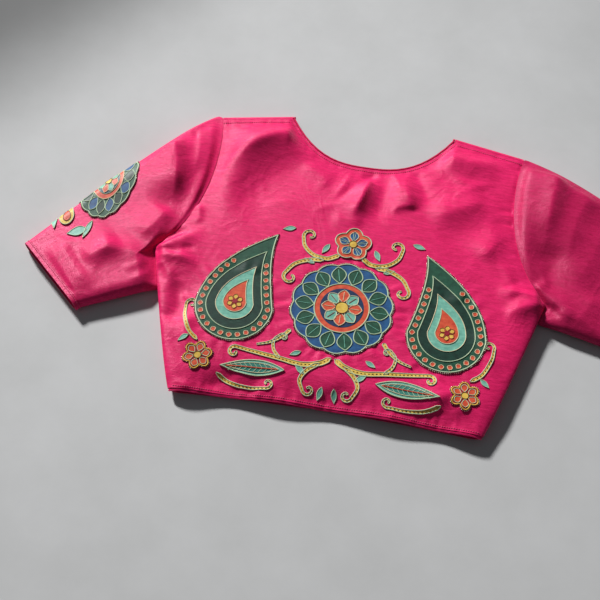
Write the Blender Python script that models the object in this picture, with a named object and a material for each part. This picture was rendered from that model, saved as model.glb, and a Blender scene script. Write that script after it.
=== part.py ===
"""Short-sleeved silk blouse, laid back side up on a flat surface.

Metres, +Z up. The body's centre line lies along Y, neck towards +Y and hem towards -Y. The origin
is on the surface, on the centre line, halfway up the body. Left and right are as seen from above,
which are also the wearer's, because the back faces up. Plan heights y are measured from the hem
in the tables and functions below, and frame_y moves them into the part's frame.
"""

import math

import bmesh
import bpy
import numpy as np

MM = 0.001

# Cloth
CLOTH = 0.0015  # silk with its backing
FACING = 0.0020  # turned edge of hem and cuff
SEAM_GAP = 0.0003
PATCH_LIFT = 0.0004
PATCH_CLOTH = 0.0009

# Cut of the body, half widths from the centre line and lengths from the hem
HALF_WAIST = 0.172
HALF_CHEST = 0.226
HALF_ACROSS = 0.177
HALF_SHOULDER = 0.186
HALF_NECK = 0.100
SIDE_LENGTH = 0.173
TIP_LENGTH = 0.372
BODY_LENGTH = 0.388
BACK_NECK_DEPTH = 0.058
FRONT_NECK_DEPTH = 0.150
HEM_ARCH = 0.006  # how much higher the hem is at the centre line
FRONT_HEM_RAISE = 0.002
FRAME_MIDDLE = 0.195  # the origin's height above the hem, along the body

SIDE_POWER = 0.9
ARMHOLE_POWER = 3.5
SHOULDER_POWER = 6.0
BACK_NECK_POWER = 2.7
FRONT_NECK_POWER = 2.5

# Heights above the surface
BODY_RISE = 0.0175
ARMHOLE_RISE = 0.0150
SHOULDER_RISE = 0.0110
SHOULDER_FOLD = SHOULDER_RISE / 2
NECK_RISE = 0.0105
SIDE_SEAM_RISE = {-1: 0.0100, 1: 0.0120}
HEM_SEAM_DROP = 0.0030  # how much lower the side seam starts, at the hem
HEM_SEAM_REACH = 0.045
ROUND_POWER = 1.3  # how upright the body's sides stand at the seam
BACK_ROUND = 0.030  # how far in from the side the back has levelled out
FRONT_ROUND = 0.014
HEM_REACH = 0.030  # how far the hem's own height carries into the body
NECK_REACH = 0.026
ARMHOLE_REACH = 0.026
ARMHOLE_START = 0.030  # length of armhole over which the side's roundness runs out
FRONT_ARMHOLE_START = 0.022

# Sleeves. Near its head a sleeve takes the armhole's heights, over a share of its length
HEAD_SHARE = 0.22
HEAD_LOW_ROUND = 0.006
LOW_MIDDLE = 0.0070  # height of the lower folded edge, and at the head
HEAD_LOW_MIDDLE = 0.0045
TOP_MIDDLE = 0.0065
CUFF_SHARE = 0.5  # where the level starts to change into the cuff's
SLEEVE_UNDER_SEAM = 0.0010  # how far the sleeve's upper side lies below the body's side seam
FOLD_CLEAR = 0.004  # flat cloth between a folded edge and the first fold
FOLD_FADE = 0.014
END_FADE = 0.05  # share of the length over which folds fade out at the head and at the cuff

# Mesh density
SIDE_ROWS = 17
ARMHOLE_ROWS = 19
BACK_COLUMNS = 34
FRONT_COLUMNS = 8
EDGE_STEPS = 4
SLEEVE_STATIONS = (0.0, 0.05, 0.11, 0.18, 0.26, 0.35, 0.44, 0.54, 0.64, 0.74, 0.84, 0.93, 1.0)
ROUND_STEPS = 3  # steps over a quarter of a sleeve's rounded edge
EVEN_SHARE = 0.3  # share of the sleeve by which its columns are evenly spaced
LOW_STEP = 0.004  # least share of the width between a rounded edge and the next point
TOP_STEP = 0.0005

# Front opening: the right front laps over the left one, with hooks between them
LAP_HALF = 0.010
LAP_RAMP = 0.018
HOOK_THICK = 0.0009
LAP_RISE = CLOTH + 2 * SEAM_GAP + HOOK_THICK
HOOK_COUNT = 5
HOOK_FIRST = 0.030
HOOK_STEP = 0.043
HOOK_WIDTH = 0.0085
HOOK_LENGTH = 0.0065

FACING_WIDTH = 0.0060
HEM_ROLL = 0.0012
PIPING_RADIUS = 0.0013
PIPING_TRIM = 0.0004  # how far a piping ends short of the edge it lies on
FOLD_PIPING_TRIM = 0.0012

# Height of the back's hem along the hem, left to right: x, height
HEM_WAVE = (
    (-0.172, 0.0145),
    (-0.104, 0.0080),
    (-0.052, 0.0125),
    (0.006, 0.0085),
    (0.070, 0.0130),
    (0.122, 0.0095),
    (0.172, 0.0155),
)

FOLD_POWER = 1.4  # how rounded a fold's section is

# The largest folds, in millimetres. Each is a ridge, or a trough where its height is negative,
# from a start to an end point, bowed sideways at the middle, with its own half width on the left
# and on the right of its direction.
# x0, y0, x1, y1, bow, left width, right width, height, share over which it starts, and ends
BACK_FOLDS = (
    (-179, 239, -80, 360, 22, 38, 16, 8.5, 0.22, 0.2),
    (-151, 231, -60, 327, 15, 16, 34, -4, 0.25, 0.3),
    (70, 355, 182, 366, -13, 20, 12, 6.5, 0.2, 0.15),
    (72, 332, 182, 342, -15, 12, 28, -3, 0.2, 0.2),
    (7, 310, -9, 239, 1, 12, 18, 4.5, 0.12, 0.4),
    (25, 318, 16, 237, 3, 11, 14, -3, 0.12, 0.4),
    (41, 330, 65, 268, -3, 14, 14, 4, 0.12, 0.35),
    (68, 329, 95, 276, -2, 14, 22, -2.5, 0.15, 0.35),
    (77, 259, 153, 297, -3, 28, 18, 3, 0.35, 0.3),
    (89, 233, 160, 273, -3, 16, 28, -1.5, 0.35, 0.3),
    (174, 262, 147, 214, 0, 14, 18, 3.5, 0.25, 0.35),
    (-222, 173, -185, 200, -2, 6, 9, 4.5, 0.1, 0.45),
    (-221, 161, -183, 157, 3, 7, 9, 4, 0.12, 0.5),
    (221, 172, 187, 153, 0, 11, 7, 4.5, 0.1, 0.5),
    (218, 181, 178, 179, 0, 9, 8, 4, 0.15, 0.55),
    (-24, 6, 24, 48, 0, 18, 12, 5, 0.15, 0.45),
    (24, 5, 58, 42, 3, 14, 12, 4.5, 0.12, 0.45),
    (96, 3, 143, 45, 2, 18, 12, 5.5, 0.12, 0.45),
    (-118, 0, -74, 36, 4, 15, 12, 4.5, 0.15, 0.45),
)

# Each sleeve, from the shoulder to the cuff. tuck is the body row where its lower edge starts,
# and its folds have the same columns as the body's.
SLEEVES = {
    "left": {
        "side": -1,
        "cuff_low": (-0.2965, 0.0810),
        "cuff_top": (-0.3770, 0.1550),
        "bow": 0.0215,
        "bow_power": 0.35,
        "tuck": 12,
        "rise": 0.0175,
        "cuff_rise": 0.0160,
        "low_round": 0.016,
        "top_round": 0.009,
        "folds": (
            (-217, 348, -199, 243, -2, 13, 17, -6.5, 0.2, 0.4),
            (-219, 222, -241, 166, 2, 13, 14, -5, 0.25, 0.35),
            (-305, 136, -264, 173, 2, 18, 14, 4.5, 0.3, 0.35),
            (-298, 145, -226, 149, 13, 14, 14, 4, 0.3, 0.35),
            (-246, 249, -219, 203, 2, 13, 13, 3, 0.3, 0.35),
            (-342, 168, -282, 102, -2, 16, 16, 2.5, 0.3, 0.3),
        ),
    },
    "right": {
        "side": 1,
        "cuff_low": (0.3660, 0.1160),
        "cuff_top": (0.4300, 0.2220),
        "bow": 0.0440,
        "bow_power": 0.80,
        "tuck": 15,
        "rise": 0.0165,
        "cuff_rise": 0.0150,
        "low_round": 0.014,
        "top_round": 0.009,
        "folds": (
            (229, 362, 211, 227, -6, 15, 20, 6.5, 0.15, 0.5),
            (276, 343, 246, 214, -11, 16, 22, 6, 0.2, 0.45),
            (231, 255, 229, 175, -2, 17, 17, -3.5, 0.3, 0.35),
            (207, 197, 257, 150, 4, 13, 8, 4.5, 0.15, 0.3),
            (257, 146, 285, 195, 2, 16, 18, 3, 0.3, 0.3),
            (287, 289, 250, 191, 3, 18, 24, 4.5, 0.3, 0.35),
        ),
    },
}

# Applied patches on the back: centre x and y, size and turn in degrees. The last three are also
# on the left.
MEDALLION = (0.0, 0.128, 0.058)
LOTUS = (0.0, 0.2125, 0.022)
PAISLEY = (0.1200, 0.112, 0.044, 0.0)
FLOWER = (0.1480, 0.044, 0.0165, 8.0)
LEAF = (0.0860, 0.0395, 0.036, -4.0)
LEAF_SLIMNESS = 0.26
# On each sleeve's upper side: station, distance in from the top folded edge, and radius
SLEEVE_ROSETTE = (0.58, 0.010, 0.044)
# Lobed outlines: number of lobes, their depth as a share of the radius, and points
MEDALLION_LOBES = (14, 0.05, 56)
LOTUS_LOBES = (5, 0.22, 40)
FLOWER_LOBES = (6, 0.30, 36)
ROSETTE_LOBES = (12, 0.06, 48)
PAISLEY_POINTS = 40
LEAF_POINTS = 24
PATCH_MARGIN = 0.004  # cells this far round a patch's outline are cut to it
CUTTER_MARGIN = 0.010

# Finish of each kind of piece: linear colour, roughness, metallic
SILK = ((0.72, 0.018, 0.130), 0.42, 0.0)
PIPING_SILK = ((0.40, 0.006, 0.060), 0.50, 0.0)
PATCH_GREEN = ((0.020, 0.110, 0.060), 0.70, 0.0)
PATCH_BLUE = ((0.020, 0.085, 0.250), 0.70, 0.0)
PATCH_CORAL = ((0.640, 0.090, 0.050), 0.70, 0.0)
PATCH_TEAL = ((0.160, 0.470, 0.360), 0.70, 0.0)
HOOK_STEEL = ((0.60, 0.60, 0.58), 0.35, 1.0)


def frame_y(y):
    """A height above the hem, as a place along the part's Y."""
    return y - FRAME_MIDDLE


def smooth(t):
    """Eases from 0 to 1."""
    t = np.clip(t, 0.0, 1.0)
    return t * t * (3.0 - 2.0 * t)


def eased_table(rows, x):
    """A smooth curve through a table's rows of (x, value), level at each row."""
    rows = np.array(rows)
    x = np.clip(x, rows[0, 0], rows[-1, 0])
    k = np.clip(np.searchsorted(rows[:, 0], x) - 1, 0, len(rows) - 2)
    start, end = rows[k], rows[k + 1]
    share = smooth((x - start[..., 0]) / (end[..., 0] - start[..., 0]))
    return start[..., 1] + (end[..., 1] - start[..., 1]) * share


def bell(distance, reach):
    """1 at no distance, fading to 0."""
    return np.exp(-((distance / reach) ** 2))


def unit(vectors):
    return vectors / np.maximum(np.linalg.norm(vectors, axis=-1, keepdims=True), 1e-12)


def half_width(y):
    """Half the body's width at a height y on its side: side seam, then armhole."""
    y = np.asarray(y, float)
    side = np.clip(y / SIDE_LENGTH, 0.0, 1.0)
    arm = np.clip((y - SIDE_LENGTH) / (TIP_LENGTH - SIDE_LENGTH), 0.0, 1.0)
    below = HALF_WAIST + (HALF_CHEST - HALF_WAIST) * side**SIDE_POWER
    above = (
        HALF_ACROSS
        + (HALF_CHEST - HALF_ACROSS) * (1.0 - arm) ** ARMHOLE_POWER
        + (HALF_SHOULDER - HALF_ACROSS) * arm**SHOULDER_POWER
    )
    return np.where(y <= SIDE_LENGTH, below, above)


def shoulder_line(x):
    """The shoulder's folded outline, from the neck point out to the tip."""
    share = (np.abs(x) - HALF_NECK) / (HALF_SHOULDER - HALF_NECK)
    return BODY_LENGTH + (TIP_LENGTH - BODY_LENGTH) * share


def top_line(x, depth, power):
    """The panel's upper edge: neckline, then the shoulder less its fold."""
    neck_bottom = BODY_LENGTH - SHOULDER_FOLD - depth
    neck = neck_bottom + depth * np.clip(np.abs(x) / HALF_NECK, 0.0, 1.0) ** power
    return np.where(np.abs(x) < HALF_NECK, neck, shoulder_line(x) - SHOULDER_FOLD)


def back_top(x):
    return top_line(x, BACK_NECK_DEPTH, BACK_NECK_POWER)


def front_top(x):
    return top_line(x, FRONT_NECK_DEPTH, FRONT_NECK_POWER)


def hem_line(x):
    return HEM_ARCH * (1.0 - (x / HALF_WAIST) ** 2)


def fold_height(x, y, folds):
    """The summed height of a table of folds at plan points."""
    total = np.zeros(np.broadcast(x, y).shape)
    for row in folds:
        x0, y0, x1, y1, bow, left, right, height = (value * MM for value in row[:8])
        start, end = row[8:]
        length = math.hypot(x1 - x0, y1 - y0)
        along_x, along_y = (x1 - x0) / length, (y1 - y0) / length
        share = ((x - x0) * along_x + (y - y0) * along_y) / length
        inside = np.clip(share, 0.0, 1.0)
        aside = (y - y0) * along_x - (x - x0) * along_y - bow * 4.0 * inside * (1.0 - inside)
        width = np.where(aside > 0.0, left, right)
        window = smooth(share / start) * smooth((1.0 - share) / end)
        total += height * window * np.exp(-(np.abs(aside / width) ** FOLD_POWER))
    return total


def back_height(x, y):
    """Height of the back's outer side over plan points, before its sides round down."""
    x, y = np.asarray(x, float), np.asarray(y, float)
    z = BODY_RISE + fold_height(x, y, BACK_FOLDS)
    to_armhole = half_width(y) - np.abs(x)
    near_armhole = bell(to_armhole, ARMHOLE_REACH) * smooth((y - SIDE_LENGTH) / ARMHOLE_START)
    z = z + (ARMHOLE_RISE - z) * near_armhole
    rim = np.where(np.abs(x) < HALF_NECK, NECK_RISE, SHOULDER_RISE)
    z = z + (rim - z) * bell(back_top(x) - y, NECK_REACH)
    return z + (eased_table(HEM_WAVE, x) - z) * bell(y - hem_line(x), HEM_REACH)


def body_rows():
    """Heights of the body's rows up its side, with the underarm on a row."""
    side = SIDE_LENGTH * np.arange(SIDE_ROWS) / SIDE_ROWS
    top = TIP_LENGTH - SHOULDER_FOLD
    armhole = np.linspace(SIDE_LENGTH, top, ARMHOLE_ROWS + 1)
    return np.concatenate([side, armhole])


def quarter(steps):
    """Angles over a quarter turn, from the edge inwards."""
    return np.linspace(0.0, math.pi / 2, steps + 1)


def side_edge_height(rows, side, start, low):
    """Height of a panel's outer edge: the side seam's, then low or high along the armhole."""
    seam = SIDE_SEAM_RISE[side] - HEM_SEAM_DROP * (1.0 - smooth(rows / HEM_SEAM_REACH))
    return seam + (low - seam) * smooth((rows - SIDE_LENGTH) / start)


def neck_split(columns, reach, edge):
    """Column places from a centre edge out to reach, with one column exactly at the neck point."""
    inner = max(2, round(columns * (HALF_NECK - edge) / (reach - edge)))
    to_neck = np.linspace(edge, HALF_NECK, inner + 1)
    beyond = np.linspace(HALF_NECK, reach, columns - inner + 1)
    return (np.concatenate([to_neck, beyond[1:]]) - edge) / (reach - edge)


def back_grid():
    """The back's outer points, rows from hem to top and columns from left to right."""
    rows = body_rows()
    share = rows / rows[-1]
    width = half_width(rows)
    top_reach = width[-1] - BACK_ROUND
    right_half = neck_split(BACK_COLUMNS // 2, top_reach, 0.0)
    flat = np.concatenate([-right_half[:0:-1], right_half])
    angles = quarter(EDGE_STEPS)[:-1]
    inset = BACK_ROUND * (1.0 - np.cos(angles)) ** ROUND_POWER
    x = np.column_stack(
        [
            *(-(width - d) for d in inset),
            *((width - BACK_ROUND) * f for f in flat),
            *((width - d) for d in inset[::-1]),
        ]
    )
    hem = hem_line(x[:1])
    top = back_top(x[-1:])
    y = hem + (top - hem) * share[:, None]
    z = back_height(x, y)
    for side, columns in ((-1, range(len(angles))), (1, range(-1, -len(angles) - 1, -1))):
        edge = side_edge_height(rows, side, ARMHOLE_START, ARMHOLE_RISE)
        edge = edge + SEAM_GAP / 2
        for column, angle in zip(columns, angles):
            still_round = 1.0 - smooth((rows - SIDE_LENGTH) / ARMHOLE_START)
            level = z[:, column]
            rounded = edge + (level - edge) * math.sin(angle)
            z[:, column] = level + (rounded - level) * still_round
    z[-1] = SHOULDER_RISE + (z[-1] - SHOULDER_RISE) * (np.abs(x[-1]) < HALF_NECK)
    y[-1] -= np.where(np.abs(x[-1]) < HALF_NECK, 0.0, SEAM_GAP / 2)
    return np.stack([x, frame_y(y), z], axis=-1)


def front_grid(side):
    """One front's outer points, and which of its cells are cloth.

    Rows run from the hem to the neck and shoulder, then over the shoulder's fold to the seam on
    the back. Columns run from the centre edge to the side.
    """
    rows = body_rows()
    share = rows / rows[-1]
    width = half_width(rows)
    flat = neck_split(FRONT_COLUMNS, width[-1] - FRONT_ROUND, -LAP_HALF)
    flat = np.concatenate([[0.0, 2 * LAP_HALF / (width[-1] - FRONT_ROUND + LAP_HALF)], flat[1:]])
    flat = np.unique(np.round(flat, 6))
    angles = quarter(EDGE_STEPS - 1)[:-1]
    inset = FRONT_ROUND * (1.0 - np.cos(angles))
    x = np.column_stack(
        [
            *(-LAP_HALF + (width - FRONT_ROUND + LAP_HALF) * f for f in flat),
            *((width - d) for d in inset[::-1]),
        ]
    )
    hem = hem_line(x[:1])
    top = front_top(x[-1:])
    y = hem + (top - hem) * share[:, None]
    y += FRONT_HEM_RAISE * (1.0 - smooth(rows / HEM_SEAM_REACH))[:, None]
    z = np.zeros_like(x)
    edge = side_edge_height(rows, side, FRONT_ARMHOLE_START, SEAM_GAP / 2) - SEAM_GAP / 2
    for column, angle in zip(range(-1, -len(angles) - 1, -1), angles):
        z[:, column] = edge * (1.0 - math.sin(angle))
    if side < 0:
        z += LAP_RISE * smooth((LAP_HALF + LAP_RAMP - x) / LAP_RAMP)
    fold = shoulder_line(x[-1])
    turns = [-a for a in quarter(ROUND_STEPS)[::-1]][1:] + list(quarter(ROUND_STEPS))[1:]
    over_y, over_z = [], []
    for turn in turns:
        reach = SHOULDER_FOLD * (1.0 - math.cos(turn))
        if turn == turns[-1]:
            reach -= SEAM_GAP / 2
        over_y.append(fold - reach)
        over_z.append(np.full_like(fold, SHOULDER_FOLD * (1.0 + math.sin(turn))))
    x = np.vstack([x, np.repeat(x[-1:], len(turns), axis=0)])
    y = np.vstack([y, over_y])
    z = np.vstack([z, over_z])
    cloth = np.ones((len(y) - 1, x.shape[1] - 1), bool)
    neck_cells = x[-1, :-1] < HALF_NECK - 1e-6
    cloth[len(rows) - 1 :, neck_cells] = False
    return np.stack([side * x, frame_y(y), z], axis=-1), cloth


def sleeve_profile(share, width, level, low_round, top_round, low_mid, top_mid, upper):
    """Height over a section at a share of its width from the lower folded edge.

    Both edges are quarter ellipses about their mid heights. The upper side runs at level, and
    the under side lies on the surface.
    """
    target = level if upper else 0.0
    from_low = share * width
    from_top = (1.0 - share) * width
    low = np.sqrt(np.clip(1.0 - (1.0 - from_low / low_round) ** 2, 0.0, 1.0))
    top = np.sqrt(np.clip(1.0 - (1.0 - from_top / top_round) ** 2, 0.0, 1.0))
    low = np.where(from_low < low_round, low, 1.0)
    top = np.where(from_top < top_round, top, 1.0)
    z = low_mid + (target - low_mid) * low
    return np.where(top < 1.0, top_mid + (target - top_mid) * top, z)


def sleeve_head(sleeve):
    """Plan points of the sleeve's head: up the side from its tuck, then round the armhole."""
    rows = body_rows()[sleeve["tuck"] :]
    step = 1e-4
    slope = (half_width(rows + step) - half_width(rows)) / step
    slope[rows > TIP_LENGTH - 2 * SHOULDER_FOLD] = 0.0
    tucked = rows < SIDE_LENGTH + 1e-6
    gap = np.where(tucked, 3 * SEAM_GAP, SEAM_GAP) * np.sqrt(1.0 + slope**2)
    head = np.column_stack([sleeve["side"] * (half_width(rows) + gap), rows])
    tip = np.array([sleeve["side"] * (HALF_SHOULDER + SEAM_GAP), TIP_LENGTH])
    return head, tip


def cuff_line(sleeve):
    """The finished cuff's lower and top corners in plan."""
    return np.array(sleeve["cuff_low"]), np.array(sleeve["cuff_top"])


def cuff_axis(sleeve):
    """The sleeve's direction out of its cuff, square to the cuff's line."""
    low, top = cuff_line(sleeve)
    across = unit(top - low)
    axis = np.array([across[1], -across[0], 0.0])
    return axis * np.sign(axis[0] * sleeve["side"])


def swell_direction(top, tip):
    """The direction in which a sleeve's top edge bows out, square to its line."""
    along = unit(top - tip)
    outward = np.array([-along[1], along[0]])
    return outward * np.sign(outward[1])


def ring_shares(head_shares, width, station, round_low, round_top):
    """Places over a sleeve's section, as shares of its width from the lower folded edge.

    Over the flat stretch they start at the head's own points and turn even along the sleeve.
    """
    curve = 1.0 - np.cos(quarter(ROUND_STEPS))
    low = round_low * curve / width
    top = 1.0 - (round_top * curve / width)[::-1]
    inner = np.clip(head_shares[1:-1], low[-1] + LOW_STEP, top[0] - TOP_STEP)
    if station == 0.0:
        inner[-1] = top[0]
    even = np.linspace(low[-1], top[0], len(inner) + 1)[1:]
    inner = inner + (even - inner) * smooth(station / EVEN_SHARE)
    return np.concatenate([low, inner, top[1:]])


def sleeve_level(sleeve, station, plan_x, plan_y, from_edges, near_head):
    """Height of a sleeve's upper side over a ring's plan points, with its folds."""
    to_cuff = smooth((station - CUFF_SHARE) / (1.0 - CUFF_SHARE))
    level = sleeve["rise"] + (sleeve["cuff_rise"] - sleeve["rise"]) * to_cuff
    seam_level = np.where(
        plan_y < SIDE_LENGTH,
        SIDE_SEAM_RISE[sleeve["side"]] - SLEEVE_UNDER_SEAM,
        side_edge_height(plan_y, sleeve["side"], ARMHOLE_START, ARMHOLE_RISE),
    )
    to_tip = bell(TIP_LENGTH - SHOULDER_FOLD - plan_y, NECK_REACH)
    seam_level = seam_level + (SHOULDER_RISE - seam_level) * to_tip
    level = level + (seam_level - level) * near_head
    quiet = smooth((from_edges - FOLD_CLEAR) / FOLD_FADE)
    quiet = quiet * smooth(station / END_FADE) * smooth((1.0 - station) / END_FADE)
    return level + fold_height(plan_x, plan_y, sleeve["folds"]) * quiet


def sleeve_grid(sleeve):
    """The sleeve's outer points: one closed ring a station, from the armhole to the cuff.

    A ring starts at the lower folded edge, runs over the upper side to the top folded edge, and
    returns along the under side.
    """
    head, tip = sleeve_head(sleeve)
    edge = np.vstack([head, tip])
    steps = np.hypot(*np.diff(edge, axis=0).T)
    head_share = np.concatenate([[0.0], np.cumsum(steps)]) / steps.sum()
    inset = cuff_axis(sleeve)[:2] * (FACING_WIDTH + SEAM_GAP)
    low, top = (end - inset for end in cuff_line(sleeve))
    outward = swell_direction(top, tip)
    rings = []
    for station in SLEEVE_STATIONS:
        near_head = 1.0 - smooth(station / HEAD_SHARE)
        line = edge + (low + (top - low) * head_share[:, None] - edge) * station
        swell = sleeve["bow"] * station ** sleeve["bow_power"] * (1.0 - station)
        line = line + outward * swell * (head_share**2)[:, None]
        run = np.concatenate([[0.0], np.cumsum(np.hypot(*np.diff(line, axis=0).T))])
        width = run[-1]
        round_low = sleeve["low_round"] + (HEAD_LOW_ROUND - sleeve["low_round"]) * near_head
        round_top = sleeve["top_round"] + (SHOULDER_FOLD - sleeve["top_round"]) * near_head
        shares = ring_shares(run / width, width, station, round_low, round_top)
        plan_x = np.interp(shares * width, run, line[:, 0])
        plan_y = np.interp(shares * width, run, line[:, 1])
        from_edges = np.minimum(shares, 1.0 - shares) * width
        level = sleeve_level(sleeve, station, plan_x, plan_y, from_edges, near_head)
        low_middle = LOW_MIDDLE + (HEAD_LOW_MIDDLE - LOW_MIDDLE) * near_head
        top_middle = TOP_MIDDLE + (SHOULDER_FOLD - TOP_MIDDLE) * near_head
        section = (shares, width, level, round_low, round_top, low_middle, top_middle)
        upper = np.column_stack([plan_x, frame_y(plan_y), sleeve_profile(*section, upper=True)])
        under = np.column_stack([plan_x, frame_y(plan_y), sleeve_profile(*section, upper=False)])
        rings.append(np.vstack([upper, under[-2:0:-1]]))
    return np.array(rings)


def grid_normals(grid, closed=False, across=None):
    """Unit normals of a grid of points. across replaces the direction across named border lines."""
    along_rows = np.gradient(grid, axis=0)
    if closed:
        along_columns = (np.roll(grid, -1, axis=1) - np.roll(grid, 1, axis=1)) / 2
    else:
        along_columns = np.gradient(grid, axis=1)
    for line, direction in (across or {}).items():
        if line in ("first_row", "last_row"):
            along_rows[0 if line == "first_row" else -1] = direction
        else:
            along_columns[:, 0 if line == "first_column" else -1] = direction
    return unit(np.cross(along_columns, along_rows))


def new_object(name, finish, mesh_maker):
    """A named object with its own material, from a function that fills a bmesh."""
    mesh = bpy.data.meshes.new(name)
    shape = bmesh.new()
    mesh_maker(shape)
    shape.to_mesh(mesh)
    shape.free()
    made = bpy.data.objects.new(name, mesh)
    bpy.context.scene.collection.objects.link(made)
    set_finish(made, finish)
    return made


def set_finish(made, finish):
    colour, roughness, metallic = finish
    material = bpy.data.materials.new(made.name)
    material.use_nodes = True
    shader = material.node_tree.nodes["Principled BSDF"]
    shader.inputs["Base Color"].default_value = (*colour, 1.0)
    shader.inputs["Roughness"].default_value = roughness
    shader.inputs["Metallic"].default_value = metallic
    material.diffuse_color = (*colour, 1.0)
    made.data.materials.append(material)


def face_out(shape):
    """Turns a closed shape's faces outwards."""
    bmesh.ops.recalc_face_normals(shape, faces=shape.faces)
    if shape.calc_volume(signed=True) < 0.0:
        bmesh.ops.reverse_faces(shape, faces=shape.faces)


def sheet_faces(shape, outer, inner, cloth, closed):
    """Fills a bmesh with a wall between two grids, over the cells that are cloth."""
    columns = outer.shape[1]
    made = {}

    def vertex(layer, i, j):
        j = j % columns if closed else j
        key = (layer, i, j)
        if key not in made:
            made[key] = shape.verts.new((outer, inner)[layer][i, j])
        return made[key]

    def is_cloth(i, j):
        if closed:
            j = j % columns
        inside = 0 <= i < cloth.shape[0] and 0 <= j < cloth.shape[1]
        return inside and cloth[i, j]

    def wall_strip(a, b):
        upper_a, upper_b = vertex(0, *a), vertex(0, *b)
        lower_a, lower_b = vertex(1, *a), vertex(1, *b)
        shape.faces.new((upper_a, lower_a, lower_b))
        shape.faces.new((upper_a, lower_b, upper_b))

    for i, j in zip(*np.nonzero(cloth)):
        corners = ((i, j), (i, j + 1), (i + 1, j + 1), (i + 1, j))
        for layer, order in ((0, (0, 1, 2, 3)), (1, (0, 3, 2, 1))):
            a, b, c, d = (vertex(layer, *corners[k]) for k in order)
            shape.faces.new((a, b, c))
            shape.faces.new((a, c, d))
        for neighbour, a, b in (
            ((i - 1, j), corners[0], corners[1]),
            ((i, j + 1), corners[1], corners[2]),
            ((i + 1, j), corners[2], corners[3]),
            ((i, j - 1), corners[3], corners[0]),
        ):
            if not is_cloth(*neighbour):
                wall_strip(a, b)


def cloth_wall(name, outer, normals, thickness, finish, cloth=None, closed=False):
    """A solid wall of cloth: a grid of outer points, and the same points moved inwards."""
    inner = outer - normals * thickness
    rows, columns = outer.shape[:2]
    if cloth is None:
        cloth = np.ones((rows - 1, columns if closed else columns - 1), bool)

    def fill(shape):
        sheet_faces(shape, outer, inner, cloth, closed)
        face_out(shape)

    made = new_object(name, finish, fill)
    made.data.shade_smooth()
    return made


def armhole_directions(rows, side):
    """Across the armhole seam, from the body into the sleeve: level, but down along the side."""
    turn = smooth((rows - SIDE_LENGTH) / ARMHOLE_START)
    level = np.array([side, 0.0, 0.0])
    return turn[:, None] * level + (1.0 - turn)[:, None] * np.array([0.0, 0.0, -1.0])


def make_back():
    grid = back_grid()
    rows = body_rows()
    across = {
        "first_column": -armhole_directions(rows, -1),
        "last_column": armhole_directions(rows, 1),
        "first_row": np.array([0.0, 1.0, 0.0]),
        "last_row": np.array([0.0, 1.0, 0.0]),
    }
    normals = grid_normals(grid, across=across)
    panel = grid.copy()
    panel[0, :, 1] += FACING_WIDTH
    cloth_wall("back", panel, normals, CLOTH, SILK)
    return grid, normals


def make_hem_facing(name, first_row, normals, roll):
    """The turned edge along a hem: the panel's edge carried down to the hem line."""
    steps = ((FACING_WIDTH - SEAM_GAP, 0.0), (FACING_WIDTH * 0.4, 0.25), (0.0, 1.0))
    strip = []
    for out, drop in steps[::-1]:
        line = first_row.copy()
        line[:, 1] += out
        line[:, 2] -= roll * drop * np.clip(normals[:, 2], 0.0, 1.0)
        strip.append(line)
    strip = np.array(strip)
    cloth_wall(name, strip, np.repeat(normals[None], len(strip), axis=0), FACING, SILK)


def make_front(name, side):
    grid, cloth = front_grid(side)
    rows = body_rows()
    extra = len(grid) - len(rows)
    outward = armhole_directions(rows, side) * np.array([1.0, 1.0, -1.0])
    outward = np.vstack([outward, np.repeat([[side, 0.0, 0.0]], extra, axis=0)])
    across = {
        "first_column": np.array([side, 0.0, 0.0]),
        "last_column": outward,
        "first_row": np.array([0.0, 1.0, 0.0]),
        "last_row": np.array([0.0, -1.0, 0.0]),
    }
    normals = grid_normals(grid, across=across) * -side
    panel = grid.copy()
    panel[0, :, 1] += FACING_WIDTH
    cloth_wall(name, panel, normals, CLOTH, SILK, cloth)
    make_hem_facing(f"hem_facing_{name}", grid[0], normals[0], 0.0)
    return grid, normals


def make_piping(name, points):
    """A round piped edge through points, with closed ends."""
    curve = bpy.data.curves.new(name, "CURVE")
    curve.dimensions = "3D"
    curve.bevel_depth = PIPING_RADIUS
    curve.bevel_resolution = 1
    curve.use_fill_caps = True
    line = curve.splines.new("POLY")
    line.points.add(len(points) - 1)
    for point, place in zip(line.points, points):
        point.co = (*place, 1.0)
    made = bpy.data.objects.new(name, curve)
    bpy.context.scene.collection.objects.link(made)
    set_finish(made, PIPING_SILK)


def edge_line(edge, normals, outward):
    """A piping's centre line, beside the middle of a wall's edge."""
    return edge - normals * CLOTH / 2 + unit(outward) * (SEAM_GAP + PIPING_RADIUS)


def trimmed(points, start, end):
    """Points without a length at the start and at the end of their line."""
    points = np.asarray(points)
    run = np.concatenate([[0.0], np.cumsum(np.linalg.norm(np.diff(points, axis=0), axis=1))])
    kept = run[(run > start) & (run < run[-1] - end)]
    places = np.concatenate([[start], kept, [run[-1] - end]])
    return np.column_stack([np.interp(places, run, points[:, k]) for k in range(3)])


def make_back_piping(grid, normals):
    top = grid[-1]
    inside = np.abs(top[:, 0]) < HALF_NECK + 1e-6
    edge = top[inside]
    tangent = np.gradient(edge, axis=0)
    outward = np.cross(tangent, np.array([0.0, 0.0, -1.0]))
    line = edge_line(edge, normals[-1][inside], outward)
    make_piping("neck_piping_back", trimmed(line, PIPING_TRIM, PIPING_TRIM))


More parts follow.
